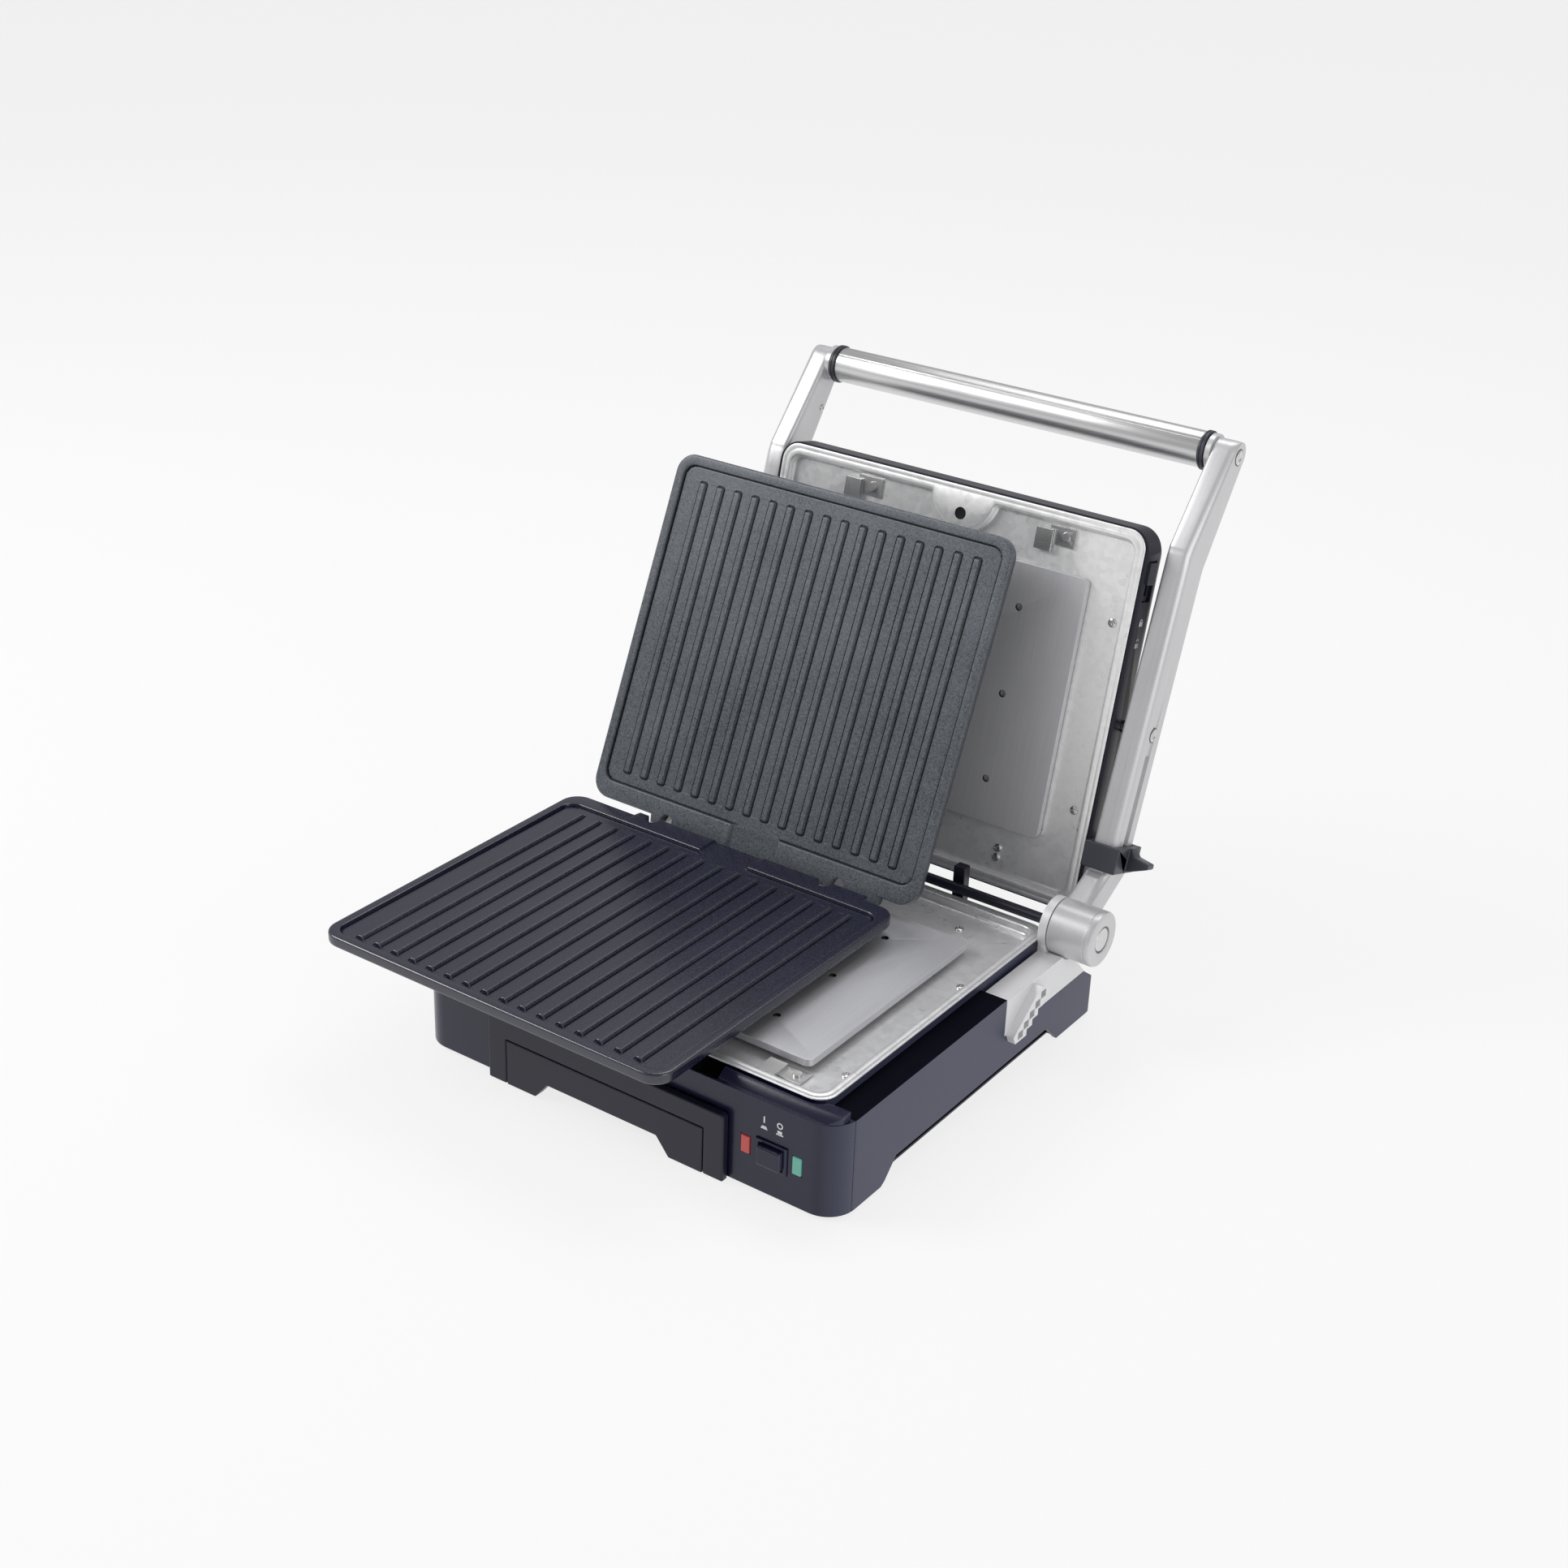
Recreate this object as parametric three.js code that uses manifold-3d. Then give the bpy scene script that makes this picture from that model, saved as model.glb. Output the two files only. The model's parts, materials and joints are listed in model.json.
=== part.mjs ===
// Panini press with an open lid on a yoke, shown with both removable grill plates
// lifted off their seats. Millimetres, +Z up, X to the user's right, Y to the back.
// The sizes below are taken from a point on the tabletop, on the left-right middle plane of the
// base and 136 mm behind its front wall. The last lines move the whole press so that the
// origin lies on the tabletop, under the middle of the box that it fills as shown.
import * as THREE from 'three';
import { mergeVertices } from 'three/addons/utils/BufferGeometryUtils.js';
import Module from 'manifold-3d';

const wasm = await Module();
wasm.setup();

// ---------------------------------------------------------------- driving dimensions
const gap = 0.3;              // clearance between pieces that lie against each other
const runGap = 0.4;           // clearance between pieces that move on each other

// base
const baseHalfWidth = 168;
const baseFrontY = -136;
const baseRearY = 179;
const baseUnderZ = 3;         // underside of the casing; the feet reach down to 0
const deckZ = 69;             // top of the side walls
const wall = 3;
const cornerR = 20;           // upright front corners
const rearCornerR = 8;
const frontPanelRearY = -119; // joint between the front panel and the tub
const rearWallTopZ = 41;      // side walls drop to this height behind the rack bracket
const bracketFrontY = 55;
const archFrontY = -83;       // open arch under each side wall
const archRearY = 114;
const archTopZ = 18;

// sheet-metal pans
const panHalfWidth = 149;      // lower pan
const lidPanHalfWidth = 146.5;
const panDepth = 266;
const panFrontY = -124.5;
const panZ = 76;              // rim of the lower pan
const panRecess = 6;          // from rim down to the floor
const panRim = 7;             // width of the flat rim
const panSheet = 1.2;
const panCornerR = 13;

// heater spreader plates
const heaterHalfWidth = 118;   // lower one
const lidHeaterHalfWidth = 110;
const heaterDepth = 184;
const heaterThick = 5;
const heaterZ = 79;           // top face of the lower one
const heaterFrontY = -96;
const heaterCornerR = 4.5;
const heaterHoleInset = 47;    // dimple row, in from the plate's side
const heaterHolePitch = 61.5;
const heaterHoleR = 2.6;

// removable grill plates
const plateWidth = 280;
const plateDepth = 256;
const plateRimThick = 8;
const plateCornerR = 14;
const plateBorder = 7;        // flat border around the cooking floor
const plateFloorDrop = 2.2;   // cooking floor below the border
const plateTopZ = 95.2;       // border of the lower plate
const plateFaceGap = 0.6;     // between the two borders when the press is shut
const padInset = 36;          // contact pad on the back, in from each edge
const ridgeCount = 16;
const ridgePitch = 15.3;
const ridgeFoot = 5.2;
const ridgeTop = 3.6;
const ridgeHeight = 2;
const ridgeRearGap = 9;       // from the back border to a ridge's end
const ridgeFrontGap = { lower: 4, upper: 11 };
const drainGap = 42;          // opening in the border, in the middle of the back edge
const rearBorder = 13;
const hookLip = 5.5;          // ledge behind the back edge, between and beyond the hook notches

// seats and the places the plates are shown in
const seatY = 8.5;            // middle of the seated plates
const shiftX = -66;           // the shown plates lie this far from their seats
const shiftY = -68.5;
const plateHingeBehind = 134.5;   // hinge line of the pair, behind the plate's middle
const plateHingeZ = 86.3;
const upperPlateLean = 23.68;     // shown lean back from upright

// hinge, yoke and lid
const hingeY = 141.5;
const hingeZ = 82;
const barrelR = 19.5;
const barrelInnerX = 150.2;
const barrelSplitX = 156;
const barrelOuterX = 189;
const pinR = 5;
const armInnerX = 154.6;
const armOuterX = 172;
const lidLean = 12.85;        // open lid, back from upright
const lidPanOffset = 34.5;    // hinge axis to the upper pan's rim plane
const lidPanStart = -1.1;     // hinge axis to the pan's near edge, along the lid
const lidDeep = 36;           // casing behind the rim plane
const lidSide = 2.6;          // casing outside the pan, each side
const lidEnd = 1.2;           // casing outside the pan, near and far ends
const lidCornerR = 16;
const lidHeaterStart = 40.5;
const lidHeaterProud = 0;     // upper heater above the rim plane
const floatAt = 131.2;        // float pivot, along the lid
const floatBehind = 51;       // float pivot, behind the hinge axis
const floatPinR = 4;

// handle
const handleY = 305.2;
const handleZ = 372;
const handleR = 12.5;
const collarR = 13.6;
const collarLen = 4;
const handleCoreR = 4;
const handleBossLen = 3.4;    // boss on each arm, behind the collar

// front controls and drip tray
const bezelLeft = -103.5;
const bezelRight = 87.3;
const bezelTopZ = 50.4;
const bezelProud = 6;
const trayLeft = -88;
const trayRight = 71.3;
const trayTopZ = 35;
const trayFloorZ = 16;
const trayWall = 2;
const trayDepth = 118;
const gripTopZ = 14;
const lampZ = 33;
const lampHigh = 12.6;
const lampWide = 6.8;
const redLampX = 100;
const greenLampX = 138.4;
const buttonX = 119.6;
const buttonZ = 32.4;
const buttonWide = 17.6;
const buttonHigh = 14;
const buttonProud = 5;

// ---------------------------------------------------------------- shape helpers
const toSolid = (geometry) => {
  const g = geometry.index ? geometry.toNonIndexed() : geometry.clone();
  for (const name of Object.keys(g.attributes)) if (name !== 'position') g.deleteAttribute(name);
  const m = mergeVertices(g, 1e-5);
  return new wasm.Manifold(new wasm.Mesh({
    numProp: 3,
    vertProperties: new Float32Array(m.attributes.position.array),
    triVerts: new Uint32Array(m.index.array),
  }));
};

const toGeometry = (solid) => {
  const mesh = solid.getMesh();
  const g = new THREE.BufferGeometry();
  g.setAttribute('position', new THREE.BufferAttribute(new Float32Array(mesh.vertProperties), 3));
  g.setIndex(new THREE.BufferAttribute(new Uint32Array(mesh.triVerts), 1));
  g.computeVertexNormals();
  return g;
};

const join = (...solids) => solids.flat().reduce((a, b) => a.add(b));
const cut = (solid, ...tools) => tools.flat().reduce((a, b) => a.subtract(b), solid);

const block = (x0, x1, y0, y1, z0, z1) => {
  const g = new THREE.BoxGeometry(x1 - x0, y1 - y0, z1 - z0);
  g.translate((x0 + x1) / 2, (y0 + y1) / 2, (z0 + z1) / 2);
  return toSolid(g);
};

const outline = (points) => new THREE.Shape(points.map(([a, b]) => new THREE.Vector2(a, b)));

// a flat outline in X and Y, raised from z0 to z1
const rise = (shape, z0, z1, segments = 5) => {
  const g = new THREE.ExtrudeGeometry(shape, { depth: z1 - z0, bevelEnabled: false, curveSegments: segments });
  g.translate(0, 0, z0);
  return toSolid(g);
};

// an outline of [Y, Z] points, run along X from x0 to x1
const runX = (shape, x0, x1, segments = 5) => {
  const s = Array.isArray(shape) ? outline(shape) : shape;
  const g = new THREE.ExtrudeGeometry(s, { depth: x1 - x0, bevelEnabled: false, curveSegments: segments });
  g.applyMatrix4(new THREE.Matrix4().set(0, 0, 1, x0, 1, 0, 0, 0, 0, 1, 0, 0, 0, 0, 0, 1));
  return toSolid(g);
};

// an outline of [X, Z] points, run along Y from y0 to y1
const runY = (shape, y0, y1, segments = 5) => {
  const s = Array.isArray(shape) ? outline(shape) : shape;
  const g = new THREE.ExtrudeGeometry(s, { depth: y1 - y0, bevelEnabled: false, curveSegments: segments });
  g.applyMatrix4(new THREE.Matrix4().set(1, 0, 0, 0, 0, 0, -1, y1, 0, 1, 0, 0, 0, 0, 0, 1));
  return toSolid(g);
};

// a rounded rectangle; the radii are for the low-Y and the high-Y corners
const roundRect = (x0, x1, y0, y1, rLow, rHigh = rLow) => {
  const s = new THREE.Shape();
  s.moveTo(x0 + rLow, y0);
  s.lineTo(x1 - rLow, y0);
  s.absarc(x1 - rLow, y0 + rLow, rLow, -Math.PI / 2, 0);
  s.lineTo(x1, y1 - rHigh);
  s.absarc(x1 - rHigh, y1 - rHigh, rHigh, 0, Math.PI / 2);
  s.lineTo(x0 + rHigh, y1);
  s.absarc(x0 + rHigh, y1 - rHigh, rHigh, Math.PI / 2, Math.PI);
  s.lineTo(x0, y0 + rLow);
  s.absarc(x0 + rLow, y0 + rLow, rLow, Math.PI, Math.PI * 1.5);
  return s;
};

const rodX = (x0, x1, y, z, r, sides = 20) => {
  const g = new THREE.CylinderGeometry(r, r, x1 - x0, sides);
  g.rotateZ(Math.PI / 2);
  g.translate((x0 + x1) / 2, y, z);
  return toSolid(g);
};

const rodY = (x, y0, y1, z, r, sides = 12) => {
  const g = new THREE.CylinderGeometry(r, r, y1 - y0, sides);
  g.translate(x, (y0 + y1) / 2, z);
  return toSolid(g);
};

const rodZ = (x, y, z0, z1, r, sides = 12) => {
  const g = new THREE.CylinderGeometry(r, r, z1 - z0, sides);
  g.rotateX(Math.PI / 2);
  g.translate(x, y, (z0 + z1) / 2);
  return toSolid(g);
};

// a straight-sided chamfered rectangle
const chamferRect = (x0, x1, y0, y1, c) => outline([
  [x0 + c, y0], [x1 - c, y0], [x1, y0 + c], [x1, y1 - c],
  [x1 - c, y1], [x0 + c, y1], [x0, y1 - c], [x0, y0 + c],
]);

const mirrorX = (solid) => solid.mirror([1, 0, 0]);
const deg = THREE.MathUtils.degToRad;

// ---------------------------------------------------------------- materials
const finish = (color, roughness, metalness) => new THREE.MeshStandardMaterial({ color, roughness, metalness });
const blackGloss = () => finish('#23242c', 0.28, 0);
const blackSatin = () => finish('#2a2b31', 0.5, 0);
const plateCoat = () => finish('#33353d', 0.55, 0.1);
const galvanised = () => finish('#b9bcc0', 0.42, 0.9);
const spreader = () => finish('#96979b', 0.45, 0.9);
const satinSilver = () => finish('#c9cacc', 0.38, 0.85);
const steel = () => finish('#b4b6ba', 0.3, 1);
const slate = () => finish('#3a3d48', 0.5, 0);
const rubber = () => finish('#1a1a1c', 0.85, 0);

// ---------------------------------------------------------------- scene graph
const press = new THREE.Group();
const lid = new THREE.Group();      // local +Y runs up the lid, local +Z out of its cooking face
lid.position.set(0, hingeY, hingeZ);
lid.rotation.x = deg(90 - lidLean);
press.add(lid);
const shownUpper = new THREE.Group();   // the upper plate, turned about the pair's hinge line
press.add(shownUpper);

const add = (name, solid, material, parent = press) => {
  const mesh = new THREE.Mesh(toGeometry(solid), material);
  mesh.name = name;
  parent.add(mesh);
  return mesh;
};

// ---------------------------------------------------------------- base casing
const baseOutline = (inset = 0) => roundRect(
  -baseHalfWidth + inset, baseHalfWidth - inset, baseFrontY + inset, baseRearY - inset,
  cornerR - inset, rearCornerR - inset);

// side view of the casing, with the arch and the lower rear part
const sideProfile = (drop = 0) => [
  [baseFrontY - 1, baseUnderZ], [archFrontY - 4, baseUnderZ], [archFrontY, baseUnderZ + 2.4],
  [archFrontY + 12, archTopZ], [archRearY, archTopZ], [archRearY + 15, baseUnderZ],
  [baseRearY + 1, baseUnderZ], [baseRearY + 1, rearWallTopZ - 14 - drop],
  [baseRearY - 3, rearWallTopZ - 11 - drop], [baseRearY - 18, rearWallTopZ - drop],
  [bracketFrontY, rearWallTopZ - drop], [bracketFrontY, deckZ - drop], [baseFrontY - 1, deckZ - drop],
];

// the drain recess in front of the pan, above the drip tray
const drainLeft = trayLeft - 4;
const drainRight = trayRight + 5;
const drainRearY = panFrontY + panRim;

const shellOf = () => {
  const body = rise(baseOutline(), baseUnderZ, deckZ, 6).intersect(runX(sideProfile(), -200, 200));
  const hollow = rise(baseOutline(wall), baseUnderZ - 1, deckZ - wall, 6)
    .intersect(runX(sideProfile(wall), -baseHalfWidth + wall, baseHalfWidth - wall)
      .add(block(-baseHalfWidth + wall, baseHalfWidth - wall, baseFrontY + wall, baseRearY - wall,
        baseUnderZ - 1, archTopZ + 0.01)));
  return cut(body, hollow);
};

const panClear = 1.5;
const panWell = rise(roundRect(-panHalfWidth + 3, panHalfWidth - 3, panFrontY + 3,
  panFrontY + panDepth - 3, panCornerR - 3), rearWallTopZ - 10, deckZ + 20, 4);
const shell = shellOf();
const bracketRearTopY = 136;                // where the bracket's ledge ends
const trayOpening = block(trayLeft - runGap, trayRight + runGap, baseFrontY - 20, baseFrontY + 10,
  baseUnderZ - 5, trayTopZ + runGap);
const frontHalf = block(-200, 200, baseFrontY - 30, frontPanelRearY, -10, 120);

// the front panel carries a cowl that rises from its wall to the front edge of the pan
const cowl = cut(runX([
  [baseFrontY + 1.2, deckZ - 4], [baseFrontY + 3.4, deckZ + 1.2], [baseFrontY + 8.5, panZ - 2],
  [frontPanelRearY, panZ - 2], [frontPanelRearY, deckZ - 4],
], -baseHalfWidth + 4, baseHalfWidth - 4).intersect(rise(baseOutline(0.6), 0, 120, 6)),
rise(roundRect(-panHalfWidth - panClear, panHalfWidth + panClear, panFrontY - panClear,
  panFrontY + panDepth, panCornerR + panClear, panCornerR), panZ - panRecess - panSheet - 1, 120, 4));
const drainCut = block(drainLeft, drainRight, baseFrontY + wall + 1.5, drainRearY, trayTopZ + 4, 120);
const drainNotch = runX([[baseFrontY - 3, bezelTopZ - 9.5], [baseFrontY + 20, bezelTopZ - 9.5],
  [baseFrontY + 20, 120], [baseFrontY + 1.5, 120], [baseFrontY + 1.5, bezelTopZ + 0.5],
  [baseFrontY - 3, bezelTopZ + 0.5]], drainLeft, drainRight);

const lampHole = (x) => block(x - lampWide / 2 - gap, x + lampWide / 2 + gap, baseFrontY - 5, baseFrontY + 8,
  lampZ - lampHigh / 2 - gap, lampZ + lampHigh / 2 + gap);
const buttonFrame = 3;
const buttonHole = block(buttonX - buttonWide / 2 - buttonFrame, buttonX + buttonWide / 2 + buttonFrame,
  baseFrontY - 5, baseFrontY + 8, buttonZ - buttonHigh / 2 - buttonFrame, buttonZ + buttonHigh / 2 + buttonFrame);

// a thin wall under the pan's rim, all round
const seatRing = cut(rise(roundRect(-panHalfWidth + 1, panHalfWidth - 1, panFrontY + 1,
  panFrontY + panDepth - 1, panCornerR - 1), rearWallTopZ - wall, panZ - panSheet - gap, 4), panWell);
const ringFront = seatRing.intersect(block(-200, 200, -200, frontPanelRearY, deckZ - wall, 120));
const ringRear = cut(seatRing, block(-200, 200, -200, bracketFrontY, -10, deckZ - wall));

const sliver = gap / 2;
const frontPanel = cut(join(shell.intersect(frontHalf), cowl, ringFront), panWell, drainCut, drainNotch,
  trayOpening, lampHole(redLampX), lampHole(greenLampX), buttonHole,
  block(-200, 200, frontPanelRearY - sliver, frontPanelRearY + 5, -10, 120));
add('front_panel', frontPanel, blackGloss());

const inletX = 120;
const tub = cut(join(shell, ringRear), block(-200, 200, baseFrontY - 30, frontPanelRearY + sliver, -10, 120), panWell,
  block(-drainRight, drainRight, frontPanelRearY - 1, drainRearY, trayTopZ + 4, 120),
  rodY(inletX, baseRearY - 8, baseRearY + 4, 20, 6 + gap, 16));
add('base_housing', tub, blackSatin());

// bottom cover, a flat plate inside the walls, with the tray's passage open
const coverZ = baseUnderZ + 0.4;
const bottomCover = cut(rise(roundRect(-baseHalfWidth + wall + gap, baseHalfWidth - wall - gap,
  baseFrontY + wall + gap, baseRearY - wall - gap, cornerR - wall - gap, rearCornerR - wall - gap),
coverZ, coverZ + 2, 4),
  block(trayLeft - 2, trayRight + 2, baseFrontY - 5, baseFrontY + wall + 30, -5, 20),
  [-1, 1].map((s) => block(s * 168 - 8, s * 168 + 8, archFrontY - 5, archRearY + 16, -5, 20)));
add('bottom_cover', bottomCover, blackSatin());

// four rubber feet, plugged up into the bottom cover's corners
const footX = baseHalfWidth - 22;
const footR = 8;
const footSpots = {
  front_left: [-footX, baseFrontY + 24], front_right: [footX, baseFrontY + 24],
  rear_left: [-footX, baseRearY - 18], rear_right: [footX, baseRearY - 18],
};
for (const [name, [x, y]] of Object.entries(footSpots)) {
  add(`foot_${name}`, rodZ(x, y, 0, coverZ - gap, footR, 16), rubber());
}

// ---------------------------------------------------------------- pans and heaters
// a shallow tray of sheet metal: rim at z, near edge at y0, screw holes at the given points
const makePan = (half, y0, z, holes) => {
  const y1 = y0 + panDepth;
  const ring = (inset, r) => roundRect(-half + inset, half - inset, y0 + inset, y1 - inset, r);
  const body = join(rise(ring(0, panCornerR), z - panSheet, z, 5),
    rise(ring(panRim - panSheet, panCornerR - 3), z - panRecess - panSheet, z, 4));
  return cut(body, rise(ring(panRim, panCornerR - 4), z - panRecess, z + 5, 4),
    holes.map(([x, y, r]) => rodZ(x, y, z - panRecess - 5, z - panRecess + 5, r, 10)));
};

const screwR = 1.6;
const screwHeadR = 3.1;
const panScrewX = panHalfWidth - panRim - 5;
const screwHole = (points) => points.map(([x, y]) => [x, y, screwR + gap]);
const lowerPanScrews = [[panScrewX, 48], [panScrewX, -84], [-panScrewX, 48], [-panScrewX, -84],
  [96, 112], [-96, 112]];
const upperPanScrews = [[131, 199.4], [131, 66.9], [-131, 199.4], [-131, 66.9], [79.5, 23.5], [79.5, 16.5],
  [54.5, 23.4], [70, 229.8]];
const lowerTerminalY = heaterFrontY + heaterDepth + 16;
const upperTerminalY = lidHeaterStart - 16;
add('lower_pan', makePan(panHalfWidth, panFrontY, panZ, screwHole(lowerPanScrews)), galvanised());
add('upper_pan', makePan(lidPanHalfWidth, lidPanStart, -lidPanOffset,
  screwHole(upperPanScrews)), galvanised(), lid);

// aluminium spreader plate with chamfered corners, two rows of dimples and four short legs
const makeHeater = (half, y0, z, panRimZ) => {
  const midY = y0 + heaterDepth / 2;
  const plate = rise(roundRect(-half, half, y0, y0 + heaterDepth, heaterCornerR), z - heaterThick, z, 3);
  const legs = [-1, 1].map((s) => [-1, 1].map((k) => rodZ(s * 95, midY + k * 78,
    panRimZ - panRecess + gap, z - heaterThick + 1, 5, 8))).flat();
  const dimples = [-1, 1].map((s) => [-1, 0, 1].map((k) => rodZ(s * (half - heaterHoleInset),
    midY + k * heaterHolePitch, z - 2.5, z + 5, heaterHoleR, 10))).flat();
  return cut(join(plate, legs), dimples);
};
const upperHeaterZ = -lidPanOffset + lidHeaterProud;
add('lower_heater_plate', makeHeater(heaterHalfWidth, heaterFrontY, heaterZ, panZ), spreader());
add('upper_heater_plate', makeHeater(lidHeaterHalfWidth, lidHeaterStart, upperHeaterZ,
  -lidPanOffset), spreader(), lid);

// a tubular heating element bent in a U, with its two ends turned down through the pan
const elementR = 3;
const makeElement = (y, far, z, depth) => {
  const s = Math.sign(far - y);
  const p = [[-40, y, z - depth], [-40, y, z - 4], [-40, y + s * 5, z], [-40, far - s * 40, z],
    [-28, far - s * 12, z], [0, far, z], [28, far - s * 12, z], [40, far - s * 40, z],
    [40, y + s * 5, z], [40, y, z - 4], [40, y, z - depth]].map((q) => new THREE.Vector3(...q));
  const path = new THREE.CatmullRomCurve3(p, false, 'centripetal');
  const ring = new THREE.Shape();
  ring.absarc(0, 0, elementR, 0, Math.PI * 2);
  return toSolid(new THREE.ExtrudeGeometry(ring, { steps: 40, extrudePath: path, curveSegments: 4,
    bevelEnabled: false }));
};
// the element sits under the pan, pressed up against its floor
const panUnder = (z) => z - panRecess - panSheet - gap;
const elementFar = 120;       // reach of the U from its ends
const elementDrop = 1.6;      // the bends rise a little above the straight runs
const lowerElementZ = panUnder(panZ) - elementR - elementDrop;
const upperElementZ = panUnder(-lidPanOffset) - elementR - elementDrop;
add('lower_heating_element', makeElement(lowerTerminalY - 14, lowerTerminalY - 14 - elementFar,
  lowerElementZ, 20), steel());
add('upper_heating_element', makeElement(upperTerminalY + 14, upperTerminalY + 14 + elementFar,
  upperElementZ, 18), steel(), lid);

const thermostatR = 12;
add('thermostat', rodZ(0, 8, panUnder(panZ) - 14, panUnder(panZ), thermostatR, 16), slate());
add('lid_thermal_fuse', block(-9, 9, 172, 184, panUnder(-lidPanOffset) - 6, panUnder(-lidPanOffset)),
  galvanised(), lid);
add('terminal_block', block(-88, -48, 138, 152, coverZ + 2 + gap, coverZ + 18), finish('#d8d4c8', 0.6, 0));
add('cord_gland', cut(join(rodY(inletX, baseRearY - 7, baseRearY + 5, 20, 6, 16),
  rodY(inletX, baseRearY + gap, baseRearY + 5, 20, 9, 16)), rodY(inletX, baseRearY - 8, baseRearY + 6,
  20, 3.4, 12)), rubber());

// ---------------------------------------------------------------- hinge brackets and hinge
const rackSteps = 5;
const rackPitchY = 6.8;
const rackPitchZ = 4.6;
const rackTopY = 101;
const rackTopZ = 53.6;
const rackThick = 6;
const ledgeThick = 3;
const ledgeZ = deckZ - 1.5;
const pinHoleR = pinR + runGap;

const rackOutline = () => {
  const p = [];
  for (let k = rackSteps - 1; k >= 0; k -= 1) {
    p.push([rackTopY - k * rackPitchY, rackTopZ - k * rackPitchZ]);
    p.push([rackTopY - k * rackPitchY, rackTopZ - (k - 1) * rackPitchZ]);
  }
  const [lowY, lowZ] = p[0];
  return [[lowY - 14, lowZ], ...p, [rackTopY - 4, rackTopZ + rackPitchZ + 3], [rackTopY - 12, ledgeZ - 2],
    [lowY - 17, lowZ + 6]];
};

const armSweep = rodX(barrelSplitX + 0.01, 220, hingeY, hingeZ, barrelR + 1.2, 28);
const makeBracket = (withRack) => {
  const x1 = baseHalfWidth;
  const ledge = block(barrelInnerX, x1, bracketFrontY + gap, bracketRearTopY, ledgeZ - ledgeThick, ledgeZ);
  const side = runX([[bracketFrontY + gap, ledgeZ], [bracketRearTopY, ledgeZ],
    [baseRearY - 18, rearWallTopZ + gap], [bracketFrontY + gap, rearWallTopZ + gap]], x1 - 4, x1);
  const ring = join(rodX(barrelInnerX, barrelSplitX, hingeY, hingeZ, barrelR, 28),
    runX([[hingeY - barrelR + 2, hingeZ - 8], [hingeY - barrelR + 2, ledgeZ - ledgeThick],
      [bracketRearTopY, ledgeZ - ledgeThick], [baseRearY - 22, rearWallTopZ + 8], [hingeY + 8, hingeZ - 8]],
    barrelInnerX, barrelSplitX));
  const web = runX([[bracketRearTopY - 8, ledgeZ - 1], [bracketRearTopY, ledgeZ - 1],
    [baseRearY - 19, rearWallTopZ + 1.5], [bracketRearTopY - 8, rearWallTopZ + 1.5]], barrelInnerX, x1 - 1);
  let body = cut(join(ledge, side, ring, web), armSweep);
  if (withRack) {
    const rack = cut(runX(rackOutline(), x1 - 1, x1 + rackThick),
      block(x1 - 5, x1 + gap, -200, 300, -10, rearWallTopZ + gap));
    body = join(body, rack);
    for (let k = 0; k < rackSteps; k += 1) {
      const y = rackTopY - k * rackPitchY;
      const z = rackTopZ - k * rackPitchZ;
      body = cut(body, block(x1 + rackThick - 3, x1 + rackThick + 2, y - 11.1, y - 4.7, z + 1.6, z + 7.2));
    }
  }
  return cut(body, rodX(barrelInnerX - 1, 220, hingeY, hingeZ, pinHoleR, 16));
};
add('right_hinge_bracket', makeBracket(true), satinSilver());
add('left_hinge_bracket', mirrorX(makeBracket(false)), satinSilver());

const tubeR = 3.6;
add('hinge_cross_tube', rodX(-barrelInnerX + gap, barrelInnerX - gap, hingeY, hingeZ, tubeR, 12), blackSatin());
add('cable_guide', block(67, 76, hingeY + tubeR + 3, hingeY + tubeR + 11, rearWallTopZ + gap, hingeZ + 12),
  blackSatin());

// ---------------------------------------------------------------- yoke
// the arm's front line leans back from the hinge, then bends away towards the handle
const armDepth = 28;
const armTilt = 18.75;
const armBase = [182.5, 132.4];         // a point on the straight front line
const armStraightFrom = -23;            // along the straight line from armBase
const armStraightTo = 199;
const armEndR = 10.5;
const along = (d, back = 0) => [
  armBase[0] + d * Math.sin(deg(armTilt)) + back * Math.cos(deg(armTilt)),
  armBase[1] + d * Math.cos(deg(armTilt)) - back * Math.sin(deg(armTilt)),
];
const bendTilt = 41.5;
const armOutline = () => {
  const s = Math.sin(deg(bendTilt));
  const c = Math.cos(deg(bendTilt));
  return [
    [hingeY + 2, hingeZ + barrelR - 4], [hingeY + 17, hingeZ + 21], along(armStraightFrom),
    along(armStraightTo), [handleY - armEndR * c - 3 * s, handleZ + armEndR * s - 3 * c],
    [handleY - 2, handleZ], [handleY + armEndR * c - 3 * s, handleZ - armEndR * s - 3 * c],
    along(armStraightTo - 14, armDepth), along(armStraightFrom, armDepth),
    [hingeY + barrelR - 1, hingeZ - 4], [hingeY, hingeZ - 4],
  ];
};
const slotWide = 4;
const slotBack = 14.7;                    // slot and float pivot, behind the front line
const slotFrom = -12;
const slotTo = 60;
const floatY = hingeY + floatAt * Math.sin(deg(lidLean)) + floatBehind * Math.cos(deg(lidLean));
const floatZ = hingeZ + floatAt * Math.cos(deg(lidLean)) - floatBehind * Math.sin(deg(lidLean));
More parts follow.
